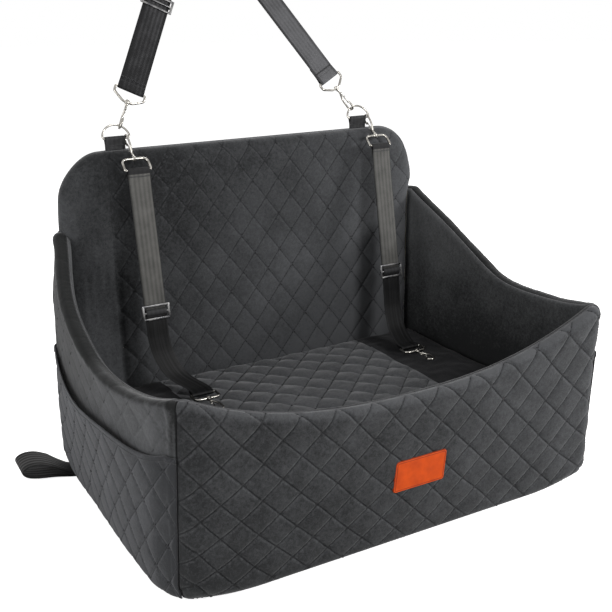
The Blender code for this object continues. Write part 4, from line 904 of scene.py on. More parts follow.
# %% [markdown]
# A quilted panel covers the lower side as a pocket. Its mouth is a hemmed edge that
# stands off from the wall in the middle, so a dark gap shows above it.

# %% Side pockets
POCKET_MOUTH, POCKET_CLOTH = 0.0110, 0.0026
POCKET_DIP, POCKET_RISE, POCKET_LIFT = 0.190, 0.034, 0.016


def pocket_points(u, v, lift):
    """Places on the pocket; lift is the distance from the wall's face."""
    t = straight_share(u)
    top = (POCKET_DIP + POCKET_RISE * t ** 2.4
           + POCKET_LIFT * np.exp(-((u + 0.25) / 0.50) ** 2) * (1 - t ** 4))
    low_angle = pi / 4
    arc_length = BOTTOM * (pi / 2 - low_angle)
    s = v * (arc_length + top - BOTTOM)
    low = s < arc_length
    angle = np.minimum(low_angle + s / BOTTOM, pi / 2)
    share = np.clip((s - arc_length) / (top - BOTTOM), 0, 1)
    stand = lift + POCKET_MOUTH * (1 - t * t) * share ** 2
    edge = low_radius(u)
    depth = np.where(low, edge - (edge + stand) * np.sin(angle), -stand)
    z = np.where(low, edge - (edge + stand) * np.cos(angle), edge + share * (top - edge))
    x, y = side_panel(u, depth, z)
    x = x - side_bulge(u, z) - side_swell(u, z)
    return stacked(x, y, z), s - arc_length


def build_pocket(side, word):
    u, v = panel_grid((pi / 4, pi / 4, 216, 8), 92)
    base, up = pocket_points(u, v, 0.0003 + POCKET_CLOTH)
    along = run_along(u, straight_half(HALF_D, 0))
    cells = quilt_cells(along + 0.0014 * soft_noise(base, 0.09),
                        up + 0.0014 * soft_noise(base + 5, 0.08), *WALL_CELL)
    height = quilt_height(cells, WALL_LINES, 0.0009, 0.0016, 0.0012, 0.0006)
    height += 0.0010 * soft_noise(base + side, 0.05) + 0.0010 * soft_noise(base, 0.13)
    mouth = (1 - v) * 0.18
    end_gap = (1 + pi / 4 - np.abs(u)) * CORNER
    height = (height - 0.0016) * ease(mouth, 0.003, 0.009) * ease(end_gap, 0, 0.009)
    # The hem is a double fold, so its edge is a soft bead.
    height += 0.0007 * ease(mouth, -0.001, 0.002) * (1 - ease(mouth, 0.006, 0.0085))
    height += seam_pucker(along, mouth - 0.007, 0.008) * ease(mouth, 0.006, 0.010)
    points = base - grid_normals(base) * height[..., None]
    points, cells, metres, top, ends = mirrored(side, points, cells, stacked(along, up),
                                                mouth, end_gap)
    piece = cloth_piece(word + "_pocket_cloth", points, cells, metres, 0.0018)
    finish_piece(piece, pocket_velvet, "tub", "quilted_velvet", word + "_side_pocket")
    sewn(word + "_pocket_stitches", quilt_lines(points, cells, WALL_LINES,
         keep=(top > 0.008) & (ends > 0.002)), quilt_thread, Thread=0.0009)
    row = int(np.argmin(np.abs(top[len(top) // 2] - 0.0065)))
    hem = points[:, row] + grid_normals(points)[:, row] * 0.0001
    sewn(word + "_hem_stitches", [hem], seam_thread, Pitch=0.0034, Length=0.0026)


for side, word in SIDES:
    build_pocket(side, word)

# %% [markdown]
# The backrest is a thick pad between the side walls: a quilted face that rounds off to a
# seam on all sides, and a plain rear cover behind it. The quilting stops short of the left
# side, where the cloth is plain and hangs in faint upright folds.

# %% Backrest
PLAIN_X = -0.262
PAD_EDGE, PAD_EDGE_BACK = 0.028, 0.010
PAD_LOW, PAD_HIGH = 0.031, 0.022


def pad_distance(x, z):
    """Distance to the outline of the backrest, with its two round upper corners."""
    past_x, past_z = np.abs(x) - PAD_HALF + PAD_CORNER, z - BACK_HEIGHT + PAD_CORNER
    round_edge = PAD_CORNER - np.hypot(np.maximum(past_x, 0), np.maximum(past_z, 0))
    straight_edge = np.minimum(PAD_HALF - np.abs(x), BACK_HEIGHT - z)
    return np.where((past_x > 0) & (past_z > 0), round_edge, straight_edge)


def edge_profile(distance, reach):
    """Share of the full thickness at a distance from a rounded edge."""
    share = np.clip(distance / reach, 0, 1)
    return np.sqrt(np.clip(1 - (1 - share) ** 2, 0, 1))


def edge_steps(reach, steps):
    """Distances from an edge that crowd towards it."""
    return reach * (1 - np.cos(np.linspace(0, pi / 2, steps)))[:-1]


def crowded(half, reach, count, steps=13):
    """Places from -half to half that crowd towards both ends."""
    edge = edge_steps(reach, steps)
    return np.concatenate([edge, np.linspace(reach, 2 * half - reach, count),
                           2 * half - edge[::-1]]) - half


def second_material(piece, material, rule):
    """Gives a second material to the faces whose middle's x meets a rule."""
    piece.data.materials.append(material)
    middles = np.array([face.center.x for face in piece.data.polygons])
    piece.data.polygons.foreach_set("material_index", rule(middles).astype(np.int32))


def pad_grid(low, count_x, count_z, reach):
    """Columns and rows that crowd towards the edge; columns close in at the corners."""
    tall = np.concatenate([np.linspace(low, BACK_HEIGHT - reach, count_z),
                           BACK_HEIGHT - edge_steps(reach, 13)[::-1]])
    x, z = np.meshgrid(crowded(PAD_HALF, reach, count_x), tall, indexing="ij")
    corner = BACK_HEIGHT - PAD_CORNER
    rise = np.clip(z - corner, 0, PAD_CORNER)
    half = PAD_HALF - PAD_CORNER + np.sqrt(np.maximum(PAD_CORNER ** 2 - rise ** 2, 0))
    # Only the outer 85 mm of each side is drawn in, so the quilting stays even.
    band = 0.085
    start = PAD_HALF - band
    past = np.clip(np.abs(x) - start, 0, band)
    x = np.sign(x) * (np.minimum(np.abs(x), start) + past * (half - start) / band)
    return x, z


def build_backrest():
    x, z = pad_grid(BOTTOM + 0.0003, 250, 172, PAD_EDGE)
    distance = pad_distance(x, z)
    stand = PAD_LOW + (PAD_HIGH - PAD_LOW) * z / BACK_HEIGHT
    front = SEAM_Y - 0.0012 - (stand - 0.0012) * edge_profile(distance, PAD_EDGE)
    base = stacked(x, front, z)
    cells = quilt_cells(x + 0.0016 * soft_noise(base, 0.10), z - CUSHION_TOP
                        + 0.0016 * soft_noise(base + 9, 0.10), *BACK_CELL)
    quilted = ease(x, PLAIN_X - 0.004, PLAIN_X + 0.004)
    height = quilt_height(cells, BACK_LINES, 0.0016, 0.0013, 0.0018, 0.0006)
    height = height * quilted + 0.0020 * (1 - quilted)
    folds = np.sin(x / 0.0155 * 2 * pi + 4.0 * soft_noise(base, 0.11))
    height += 0.0006 * folds * soft_noise(base + 3, 0.05) * (1 - quilted)
    height -= 0.0022 * np.exp(-((x - PLAIN_X) / 0.006) ** 2)
    height += 0.0010 * soft_noise(base, 0.045) + 0.0016 * soft_noise(base, 0.16)
    height = (height - 0.0029) * ease(distance, -0.001, 0.010)
    height += seam_pucker(x + z, distance, 0.010)
    points = settled(base + grid_normals(base) * height[..., None])
    shown = np.where(quilted[..., None] > 0.5, cells, 0.5)
    piece = cloth_piece("backrest_quilt_cloth", points, shown, stacked(x, z), 0.0022)
    finish_piece(piece, back_velvet, "tub", "quilted_velvet", "backrest_quilt")
    # The plain strip's velvet carries a painted shadow of the left tether.
    second_material(piece, strip_velvet, lambda x: x < PLAIN_X - 0.004)
    sewn("backrest_stitches", quilt_lines(points, cells, BACK_LINES,
         keep=(quilted > 0.5) & (distance > 0.007) & (z > 0.10)), quilt_thread)
    return piece


def build_back_cover():
    x, z = pad_grid(BOTTOM, 90, 66, PAD_EDGE_BACK)
    profile = edge_profile(pad_distance(x, z), PAD_EDGE_BACK)
    base = stacked(x, SEAM_Y + 0.0024 + (HALF_D - SEAM_Y - 0.0024) * profile, z)
    low = []
    for angle in np.linspace(0, pi / 2, 12)[:-1]:
        depth = BOTTOM - BOTTOM * sin(angle)
        half = min(float(straight_half(HALF_W, depth)) - 0.0003, PAD_HALF)
        share = max(0.0, (angle / (pi / 2) - 0.25) / 0.75) ** 2
        row = base[:, 0].copy()
        row[:, 0] *= half / PAD_HALF
        row[:, 1] = HALF_D - depth - (HALF_D - row[:, 1]) * share
        row[:, 2] = BOTTOM - BOTTOM * cos(angle)
        low.append(row[:, None])
    base = np.concatenate(low + [base], 1)
    height = 0.0012 * soft_noise(base, 0.09) - 0.0014
    points = settled(base - grid_normals(base) * height[..., None])
    metres = base[::-1, :, ::2]
    piece = cloth_piece("back_cover_cloth", points[::-1], metres, metres, 0.0014)
    return finish_piece(piece, rear_velvet, "tub", "outer_velvet", "back_cover")


backrest = build_backrest()
build_back_cover()
print("backrest quilt:", len(backrest.data.polygons), "faces")

# %% [markdown]
# Foam fills the walls and the backrest. Each block follows the cloth around it and is a
# closed form, rounded at the top.

# %% Foam in the walls


def foam_material():
    """Open-cell foam with pores about 1.6 mm wide."""
    material, add = new_material("open_cell_foam")
    place = add("TexCoord", out="Object")
    pores = add("TexVoronoi", {"Vector": place, "Scale": 620.0})
    color = add("ValToRGB", [pores], stops=[(0.1, "b9b29b"), (0.6, "e4dfca")])
    return coated(material, color, pores, 0.6, 0.0008, {"Roughness": 0.95})


foam = foam_material()


def build_core(side, word, node_name):
    """The foam inside a wall: one skin each way, closed all round and rounded on top."""
    ends = (pi / 4, pi / 4, 60, 4) if side == 0 else (pi / 4, pi / 3, 48, 5)
    u, v = panel_grid(ends, 26)
    rim = (front_rim if side == 0 else side_rim)(u) - 0.0045
    z = 0.020 + (rim - 0.020) * v ** 0.6
    arch = 1 - np.clip((rim - z) / (ROLL - 0.0045), 0, 1)
    arch = np.sqrt(np.clip(1 - arch ** 2, 0.001, 1))
    skins = []
    for reach in (ROLL - 0.0050, 0.0035 - ROLL):
        x, y = (front_panel if side == 0 else side_panel)(u, ROLL - reach * arch, z)
        if side != 0:
            x = (x - side_bulge(u, z)) * -side
        skins.append(settled(stacked(x, y, z)))
    if side < 0:
        skins.reverse()
    return finish_piece(two_sided(word + "_wall_foam", *skins), foam, "tub", "foam", node_name)


def build_back_core():
    low = 0.040
    x, z = pad_grid(low, 60, 50, PAD_EDGE)
    profile = np.maximum(edge_profile(pad_distance(x, z) - 0.004, PAD_EDGE), 0.05)
    stand = 0.027 + (0.018 - 0.027) * z / BACK_HEIGHT
    x, z = x * 0.986, low + (z - low) * 0.990
    skins = [settled(stacked(x, SEAM_Y + reach * profile, z)) for reach in (-stand, 0.010)]
    return finish_piece(two_sided("back_pad_foam", *skins), foam, "tub", "foam", "back_foam")


build_core(0, "front", "front_foam")
for side, word in SIDES:
    build_core(side, word, word + "_side_foam")
build_back_core()

# %% [markdown]
# The cushion is a loose, thick pad: crowned, drawn in between its corners, with puffed
# diamonds in the middle and a plain border. Its mesh is a closed form, top and bottom.

# %% Seat cushion
CUSHION_LOW = 0.0973
CUSHION_HALF_X = 0.348
CUSHION_FRONT, CUSHION_REAR = -0.2375, 0.2192
CUSHION_QUILTED = 0.2065


def build_cushion():
    half_x = CUSHION_HALF_X
    half_y = (CUSHION_REAR - CUSHION_FRONT) / 2
    mid_y = (CUSHION_REAR + CUSHION_FRONT) / 2
    middle = (CUSHION_LOW + CUSHION_TOP) / 2
    reach = 0.018
    x, y = np.meshgrid(crowded(half_x, reach, 290, 9), crowded(half_y, reach, 180, 9),
                       indexing="ij")
    distance = np.minimum(half_x - np.abs(x), half_y - np.abs(y))
    # Round the plan corners by drawing points in along the diagonal.
    corner_x = np.clip((np.abs(x) - half_x + 0.03) / 0.03, 0, 1)
    corner_y = np.clip((np.abs(y) - half_y + 0.03) / 0.03, 0, 1)
    pull = 0.0088 * (corner_x * corner_y) ** 1.5
    share = edge_profile(distance, reach)
    crown = (1 - (x / half_x) ** 2) * (1 - (y / half_y) ** 2)
    draw_x = 1 - 0.005 / half_x * np.cos(pi / 2 * y / half_y)
    draw_y = 1 - 0.005 / half_y * np.cos(pi / 2 * x / half_x)
    px = x * draw_x - np.sign(x) * pull
    py = mid_y + y * draw_y - np.sign(y) * pull
    flat = stacked(px, py, 0 * px)
    cells = quilt_cells(x + 0.0018 * soft_noise(flat, 0.09),
                        y + 0.0018 * soft_noise(flat + 4, 0.09), *CUSHION_CELL)
    puff = quilt_height(cells, CUSHION_LINES, 0.0014, 0.0016, 0.0052)
    # Fine gathers run into each sewn line, more on some fields than on others.
    away = np.min(np.abs(cells - np.round(cells)), -1) * CUSHION_LINES
    gather = np.sin((x + y) / 0.0052 * 2 * pi) * np.sin((x - y) / 0.0055 * 2 * pi + 0.6)
    puff += 0.0004 * gather * np.exp(-((away - 0.004) / 0.003) ** 2)
    quilted = ease(CUSHION_QUILTED - np.abs(x), -0.002, 0.004)
    quilted = quilted * ease(distance, 0.005, 0.018)
    border = 0.0048 + 0.0010 * soft_noise(flat, 0.05)
    relief = puff * quilted + border * (1 - quilted)
    relief += 0.0012 * soft_noise(flat + 2, 0.045) * (1 - quilted)
    relief += 0.0009 * soft_noise(flat, 0.03) + 0.0008 * soft_noise(flat + 6, 0.014)
    rim = 0.0025
    rise = CUSHION_TOP - middle - rim - 0.0055
    top = middle + rim + (rise - 0.004 * (1 - crown)) * share + relief * share
    under = middle - rim - (middle - rim - CUSHION_LOW - 0.0003) * share
    upper = stacked(px, py, top)
    # Outside the quilted part the map stays in the middle of a cell, away from lines.
    shown = np.where((quilted > 0.5)[..., None], cells, 0.5).reshape(-1, 2)
    places = stacked(px, py).reshape(-1, 2)
    piece = two_sided("seat_cushion_cloth", upper, stacked(px, py, under),
                      {"quilt": np.concatenate([shown, np.full_like(shown, 0.5)]),
                       "weave": np.concatenate([places, places])})
    finish_piece(piece, cushion_velvet, "tub", "quilted_velvet", "seat_cushion")
    # The border gets the darker velvet: painted shade from the walls.
    second_material(piece, shaded_border_velvet, lambda x: np.abs(x) > CUSHION_QUILTED)
    sewn("cushion_stitches", quilt_lines(upper, cells, CUSHION_LINES,
         keep=(quilted > 0.6), ring=0.0), quilt_thread)
    return piece


cushion = build_cushion()
print("cushion:", len(cushion.data.polygons), "faces")

# %% [markdown]
# Seams hold the panels together. A thin cord of turned cloth runs along the crown of the
# rim, and a fine one down each front corner and round the backrest. Each is a tube along
# a path that lies on the panels.

# %% Seam cords


def new_piece(name, mesh, sharp=50):
    """An object from a bmesh, smooth but for edges past an angle in degrees."""
    data = bpy.data.meshes.new(name)
    mesh.to_mesh(data)
    mesh.free()
    data.shade_smooth()
    data.set_sharp_from_angle(angle=radians(sharp))
    return add_object(name, data)


def tube(name, points, radius, cyclic=False, sides=8):
    """A round tube mesh along points."""
    curve = bpy.data.curves.new(name, "CURVE")
    curve.dimensions = "3D"
    curve.bevel_depth = radius
    curve.bevel_resolution = max(1, sides // 2 - 2)
    curve.use_fill_caps = True
    spline = curve.splines.new("POLY")
    spline.points.add(len(points) - 1)
    for point, place in zip(spline.points, points):
        point.co = (*place, 1)
    spline.use_cyclic_u = cyclic
    holder = add_object(name, curve)
    data = evaluated_mesh(holder)
    bpy.data.objects.remove(holder)
    mesh = bmesh.new()
    mesh.from_mesh(data)
    bpy.data.meshes.remove(data)
    bmesh.ops.remove_doubles(mesh, verts=mesh.verts[:], dist=1e-6)
    bmesh.ops.recalc_face_normals(mesh, faces=mesh.faces[:])
    return new_piece(name, mesh)


def join_pieces(name, parts):
    """Several meshes as one piece."""
    mesh = bmesh.new()
    for part in parts:
        mesh.from_mesh(part.data)
        bpy.data.objects.remove(part)
    return new_piece(name, mesh)


cord_velvet = velvet("cord_velvet", "39393b", "626264", sheen=0.4)


def crown_paths():
    """Lines along the crown of the rim, the front one and the two side ones."""
    u = panel_stations(pi / 4, pi / 4, 120, 5)
    z = front_rim(u) + 0.0002
    lines = [stacked(*front_panel(u, np.full_like(u, ROLL), z), z)]
    u = panel_stations(pi / 4, pi / 2, 110, 6)
    turn = over_turn(u)
    z = side_rim(u) - ROLL * (1 - np.cos(turn)) + 0.0002
    x, y = side_panel(u, ROLL + ROLL * np.sin(turn), z)
    x = x - side_bulge(u, z)
    lines += [stacked(x * flip, y, z) for flip in (1, -1)]
    return [settled(line) for line in lines]


def corner_path(side, depth, z):
    """A line down a front corner seam, at depths under its cloth."""
    return settled(stacked(*front_panel(np.full_like(z, side * (1 + pi / 4)), depth, z), z))


cords = [tube("crown_%d" % number, line, 0.0011) for number, line in enumerate(crown_paths())]
folds = []
for side, word in SIDES:
    z = np.linspace(CORNER_RIM - ROLL, 0.003, 44)
    bend = np.arccos(np.clip(1 - z / LOW_CORNER, 0, 1))
    depth = LOW_CORNER * (1 - np.sin(bend)) + 0.0006
    folds.append(tube(word + "_corner", corner_path(side, depth, z), 0.0010))
    # Under the corner the two panels' ends are tucked into a thicker fold.
    bend = np.radians(np.linspace(72, -6, 28))
    tuck = LOW_CORNER - 0.0044
    folds.append(tube(word + "_tuck", corner_path(side, LOW_CORNER - tuck * np.sin(bend),
                                                  LOW_CORNER - tuck * np.cos(bend)), 0.0046))
    z = np.linspace(0.040, REAR_RIM - 0.004, 30)
    rear = stacked(0 * z + side * (HALF_W - CORNER), 0 * z + HALF_D - 0.0012, z)
    cords.append(tube(word + "_rear", settled(rear), 0.0022))
finish_piece(join_pieces("rim_seam_cords", cords), cord_velvet, "tub", "outer_velvet")
# Painted shade: the corner folds and tucks are near-black, standing for the shade in the corner
# seams' creases.
finish_piece(join_pieces("corner_seam_folds", folds), velvet("fold_shade_velvet", "0c0c0d", "1c1c1d",
             sheen=0.0), "tub", "outer_velvet")

angle = np.linspace(0, pi / 2, 18)
edge_x = PAD_HALF - PAD_CORNER + PAD_CORNER * np.cos(angle)
edge_z = BACK_HEIGHT - PAD_CORNER + PAD_CORNER * np.sin(angle)
edge_x = np.concatenate([np.full(24, PAD_HALF), edge_x[1:]])
edge_z = np.concatenate([np.linspace(0.05, BACK_HEIGHT - PAD_CORNER, 24), edge_z[1:]])
edge_x = np.concatenate([edge_x, np.linspace(edge_x[-1], -edge_x[-1], 30)[1:-1], -edge_x[::-1]])
edge_z = np.concatenate([edge_z, np.full(28, BACK_HEIGHT), edge_z[::-1]])
back_line = settled(stacked(edge_x, 0 * edge_x + SEAM_Y, edge_z))
finish_piece(tube("backrest_seam_cord", back_line, 0.0012), cord_velvet, "tub", "outer_velvet")

# %% [markdown]
# Webbing is a narrow, tightly woven polyester band: fine ribs run along it, with a
# firmer edge on each side. The weave map gives the distance across and along the band.
# Below its slider a tether is smoother, and its colour there is painted darker as shade,
# with pale streaks as painted highlights. Where it wraps its upper loop it is painted dark
# as shade, and all webbing gets painted occlusion shade in its hollows.

# %% Webbing material and band builder
WEBBING_WIDTH, WEBBING = 0.038, 0.0014


def webbing_material(name, dark, light, slope=0.0, ribs=0.055, shaded_below=None, fold_shade_above=None):
    """Ribbed webbing.

    slope is how the tone climbs along x for each metre, a painted fall of light, and ribs how
    strongly the broad ribs show. Optional are a part below one height, painted darker as shade
    with pale streaks as painted highlights, and a fold above another height, painted dark as
    shade. Ambient occlusion paints shade into the hollows.
    """
    material, add = new_material(name)
    place = add("TexCoord", out="Object")
    spot = add("SeparateXYZ", [place]).node.outputs
    cells = add("SeparateXYZ", [add("UVMap", uv_map="weave")]).node.outputs
    across, along = cells["X"], cells["Y"]
    # Ribs are 1.9 mm wide and picks 1.6 mm long, in panels of four ribs.
    rib = add("Math SINE", [add("Math MULTIPLY", [across, 2 * pi / 0.0019])])
    zig = add("Math PINGPONG", [across, 0.0038])
    pick = add("Math MULTIPLY", [zig, 2 * pi / 0.0019])
    pick = add("Math MULTIPLY_ADD", [along, 2 * pi / 0.0016, pick])
    pick = add("Math SINE", [pick])
    weave = add("Math MULTIPLY_ADD", [pick, 0.7, rib])
    grime = add("TexNoise", {"Vector": place, "Scale": 45.0, "Detail": 4.0})
    edge = add("MapRange", [add("Math ABSOLUTE", [across]),
               WEBBING_WIDTH * 0.44, WEBBING_WIDTH * 0.50, 0, -0.25])
    panel = add("Math SINE", [add("Math MULTIPLY", [across, 2 * pi / 0.0076])])
    tone = add("Math MULTIPLY_ADD", [weave, 0.075, edge])
    tone = add("Math MULTIPLY_ADD", [panel, ribs, tone])
    tone = add("Math MULTIPLY_ADD", [grime, 0.30, tone])
    tone = add("Math ADD", [tone, 0.29])
    tone = add("Math MULTIPLY_ADD", [spot["X"], slope, tone])
    color = add("ValToRGB", [tone], stops=[(0.22, dark), (0.66, light)])
    gloss = 0.62
    # Painted shade: below this height the colour turns near-black, with pale streaks as painted
    # highlights.
    if shaded_below:
        streak = add("TexNoise", {"Vector": add("CombineXYZ",
                     [across, add("Math MULTIPLY", [along, 0.02])]),
                     "Scale": 260.0, "Detail": 2.0})
        shade_with_highlight_streaks = add("ValToRGB", [streak], stops=[(0.40, "020202"), (0.68, "1d1d1e")])
        low = add("MapRange", [spot["Z"], shaded_below - 0.008, shaded_below + 0.002, 1, 0],
                  interpolation_type="SMOOTHSTEP")
        color = add("MixRGB", [low, color, shade_with_highlight_streaks])
        gloss = add("MapRange", [low, 0, 1, 0.62, 0.48])
    # Painted shade: above this height, where the band wraps its loop, the colour turns dark.
    if fold_shade_above:
        fold = add("MapRange", [spot["Z"], fold_shade_above - 0.0006, fold_shade_above + 0.0006,
                   0, 0.9], interpolation_type="SMOOTHSTEP")
        color = add("MixRGB", [fold, color, linear("18181a")])
    # Painted shade: ambient occlusion darkens the colour in hollows and where parts touch.
    open_to = add("AmbientOcclusion", {"Distance": 0.03}, out="AO", samples=8)
    occlusion_shade = add("MapRange", [open_to, 0.1, 0.8, 0.35, 1])
    color = add("MixRGB", [1.0, color, occlusion_shade], blend_type="MULTIPLY")
    return coated(material, color, weave, 0.35, 0.00022,
                  {"Roughness": gloss, "Specular IOR Level": 0.14})


tether_webbing = webbing_material("tether_webbing", "2c2c2b", "666562", shaded_below=0.293,
                                  fold_shade_above=0.5110)
# Painted light: the strap's tone climbs towards the right, so its left leg is painted darker as
# shade.
head_webbing = webbing_material("head_webbing", "151516", "59595b", slope=1.15)
tab_webbing = webbing_material("tab_webbing", "1e1e1f", "3e3e3f")
floor_webbing = webbing_material("floor_webbing", "060606", "454444", ribs=0.26)


def smooth_path(points, step):
    """Points along a smooth curve through a list of points, evenly spread."""
    pts = np.array([list(p) for p in points], float)
    pad = np.vstack([2 * pts[0] - pts[1], pts, 2 * pts[-1] - pts[-2]])
    dense = []
    for k in range(1, len(pad) - 2):
        p0, p1, p2, p3 = pad[k - 1], pad[k], pad[k + 1], pad[k + 2]
        count = max(2, int(np.linalg.norm(p2 - p1) / step * 2))
        t01 = np.linalg.norm(p1 - p0) ** 0.5
        t12 = np.linalg.norm(p2 - p1) ** 0.5
        t23 = np.linalg.norm(p3 - p2) ** 0.5
        m1 = (p2 - p1 + t12 * ((p1 - p0) / t01 - (p2 - p0) / (t01 + t12)))
        m2 = (p2 - p1 + t12 * ((p3 - p2) / t23 - (p3 - p1) / (t12 + t23)))
        for t in np.linspace(0, 1, count, endpoint=False):
            h = ((2 * t ** 3 - 3 * t ** 2 + 1) * p1 + (t ** 3 - 2 * t ** 2 + t) * m1
                 + (-2 * t ** 3 + 3 * t ** 2) * p2 + (t ** 3 - t ** 2) * m2)
            dense.append(h)
    dense.append(pts[-1])
    return np.array(dense)


def band(name, centre, across, normal, width=WEBBING_WIDTH, thickness=WEBBING, columns=13):
    """A closed band of webbing from its centre line, widths and normals."""
    n = len(centre)
    along = np.concatenate([[0], np.cumsum(np.linalg.norm(np.diff(centre, axis=0), axis=1))])
    shares = np.linspace(-0.5, 0.5, columns)[:, None, None]
    # The selvedge is a little thinner than the middle.
    half = thickness / 2 * np.sqrt(np.clip(1 - (np.abs(shares) * 2) ** 10, 0.12, 1))
    middle = centre[None] + across[None] * shares * width
    ring = np.concatenate([middle + normal[None] * half, middle[::-1] - normal[None] * half])
    size = 2 * columns
    index = np.arange(size * n).reshape(size, n)
    quads = grid_faces(size + 1, n) % (size * n)
    caps = []
    for end, turn in ((0, 1), (n - 1, -1)):
        for k in range(columns - 1):
            pair = [index[k, end], index[k + 1, end], index[size - 2 - k, end],
                    index[size - 1 - k, end]]
            caps.append(pair[::turn])
    places = np.concatenate([shares, shares[::-1]])[:, :, 0] * width
    maps = np.stack([places + 0 * along[None], along[None] + 0 * places], -1)
    piece = add_mesh(name, ring, np.concatenate([quads, caps]), {"weave": maps})
    mesh = bmesh.new()
    mesh.from_mesh(piece.data)
    bmesh.ops.recalc_face_normals(mesh, faces=mesh.faces[:])
    if mesh.calc_volume(signed=True) < 0:
        bmesh.ops.reverse_faces(mesh, faces=mesh.faces[:])
    mesh.to_mesh(piece.data)
    mesh.free()
    piece.data.set_sharp_from_angle(angle=radians(60))
    return piece


def half_turn(face, run):
    """Nine directions from a face round the far side of a bar to the other face."""
    return [face * cos(pi * k / 8) - run * sin(pi * k / 8) for k in range(9)]


def plane_band(name, points, across, step=0.002, **settings):
    """A band whose path lies in a plane at right angles to its width."""
    centre = smooth_path(points, step)
    along = np.gradient(centre, axis=0)
    along /= np.linalg.norm(along, axis=1, keepdims=True)
    side = np.array(list(across), float)
    normal = np.cross(along, side)
    normal /= np.linalg.norm(normal, axis=1, keepdims=True)
    width = np.tile(side, (len(centre), 1))
    return band(name, centre, width, normal, **settings)


# %% [markdown]
# The hardware sits where the solids sit, so these lengths repeat the frame's: the bar of
# each D-ring, the length of a snap hook, and the angles at which tethers and strap leave.

# %% Hardware places
GAP = 0.0003
BAR_Z = BACK_HEIGHT + 0.019
RING_X, RING_BOW, RING_CORNER, RING_WIRE = 0.240, 0.024, 0.005, 0.0018
TAB_WIDTH, TAB_ASIDE = 0.035, 0.003
HOOK_LENGTH, HOOK_BEND, HOOK_WIRE = 0.042, 0.0068, 0.0014
HOOK_SEAT = HOOK_LENGTH + HOOK_BEND - HOOK_WIRE - RING_WIRE - 0.0002
LOOP_HEIGHT, LOOP_HALF, LOOP_WIRE = 0.023, 0.0225, 0.0020
STRAP_WIDTH, STRAP_LOOP_HALF = 0.046, 0.0265
TETHER_ANGLE = radians(47)
STRAP_LEAN, LEG = radians(26.6), radians(28.2)
LEAN = Vector((0, sin(STRAP_LEAN), cos(STRAP_LEAN)))
LEAN_FRONT = Vector((0, -cos(STRAP_LEAN), sin(STRAP_LEAN)))
PLY = (WEBBING + GAP) / 2
TURN = LOOP_WIRE + GAP + WEBBING / 2
SLIDER_HALF_H, SLIDER_RAIL, SLIDER_INSET = 0.0125, 0.0050, 0.0014
SLIDER_PLACE = Vector((0, 0.160, 0.283))
FOOT_Y, FOOT_RISE = 0.080, 0.0115
MEET = 0.016


def placing(origin, x_axis, y_axis):
    """A matrix with its x and y axes along two directions."""
    x_axis, y_axis = Vector(x_axis).normalized(), Vector(y_axis).normalized()
    matrix = Matrix((x_axis, y_axis, x_axis.cross(y_axis))).transposed().to_4x4()
    matrix.translation = origin
    return matrix


def tether_x(side):
    """The tethers' hooks hang beside the tabs."""
    return side * RING_X - TAB_ASIDE + TAB_WIDTH / 2 + 0.0006 + HOOK_WIRE


def arc_points(center, radius, start, end, steps):
    """Points in a plane along a circle, from one angle to another."""
    return [(center[0] + radius * cos(start + (end - start) * k / steps),
             center[1] + radius * sin(start + (end - start) * k / steps))
            for k in range(steps + 1)]


# %% [markdown]
# Each tether is one band: its end is sewn below the slider, it goes up and round the bar
# of the upper loop, down through the slider, bends forward over the cushion and ends
# round the bar of the lower loop.

# %% Tethers


def build_tether(side, word, drift):
    """One tether; gives its slider's place, its face there and its foot's place."""
    shift = Vector((tether_x(side), 0, 0))
    fall_line = Vector((0, -sin(TETHER_ANGLE), -cos(TETHER_ANGLE)))
    bar = Vector((0, SEAM_Y, BAR_Z)) + fall_line * (HOOK_SEAT + LOOP_HEIGHT)
    slider = SLIDER_PLACE
    foot = Vector((drift, FOOT_Y, CUSHION_TOP + FOOT_RISE))
    run = (slider - bar).normalized()
    face = Vector((1, 0, 0)).cross(run)
    if face.y > 0:
        face = -face
    path = [slider + run * (SLIDER_HALF_H * 0.6) + face * PLY,
            (slider + bar) / 2 + face * PLY, bar + run * MEET + face * PLY]
    path += [bar + way * TURN for way in half_turn(face, run)]
    back_line = slider + run * 0.0175 - face * PLY
    path += [bar + run * MEET - face * PLY, (slider + bar) / 2 - face * PLY, back_line]
    landing = foot + Vector((0, TURN, 0))
    fall = landing - back_line
    for aside, forward, down in ((0.02, 0.05, 0.26), (0.14, 0.14, 0.52), (0.45, 0.38, 0.80)):
        path.append(back_line + Vector((fall.x * aside, fall.y * forward, fall.z * down)))
    last = back_line + Vector((fall.x * 0.90, fall.y * 0.74, fall.z * 0.95))
    lower = last - foot
    lower.x = 0
    lower.normalize()
    over = Vector((0, -lower.z, lower.y))
    if over.z < 0:
        over = -over
    path.append(foot + lower * MEET + over * PLY)
    path += [foot + way * TURN for way in half_turn(over, lower)]
    path.append(foot + lower * MEET - over * PLY)
    piece = plane_band(word + "_tether_webbing", [p + shift for p in path], (1, 0, 0),
                       step=0.0024)
    finish_piece(piece, tether_webbing, word + "_tether", "webbing", word + "_tether")
    # A bar tack of three close rows binds the two plies under the upper loop.
    tack = []
    for row in range(3):
        place = bar + shift + run * (0.0095 + 0.0010 * row) + face * (2 * PLY + 0.0003)
        tack.append([place + Vector((x, 0, 0)) for x in (-0.0165, 0, 0.0165)])
    sewn(word + "_tether_tack", tack, seam_thread, word + "_tether", "webbing", Pitch=0.0022,
         Length=0.0022, Thread=0.0010)
    return slider + shift, face, foot + shift


DRIFTS = {-1: 0.044, 1: -0.010}
tethers = {side: build_tether(side, word, DRIFTS[side]) for side, word in SIDES}

# %% [markdown]
# The head restraint strap is one long band. It is flat against the car seat near its
# loops and turns on edge where it goes over the top.

# %% Head restraint strap
STRAP_ARCH, STRAP_TWIST, STRAP_SLIDER, STRAP_TAIL = 0.050, 0.200, 0.178, 0.034


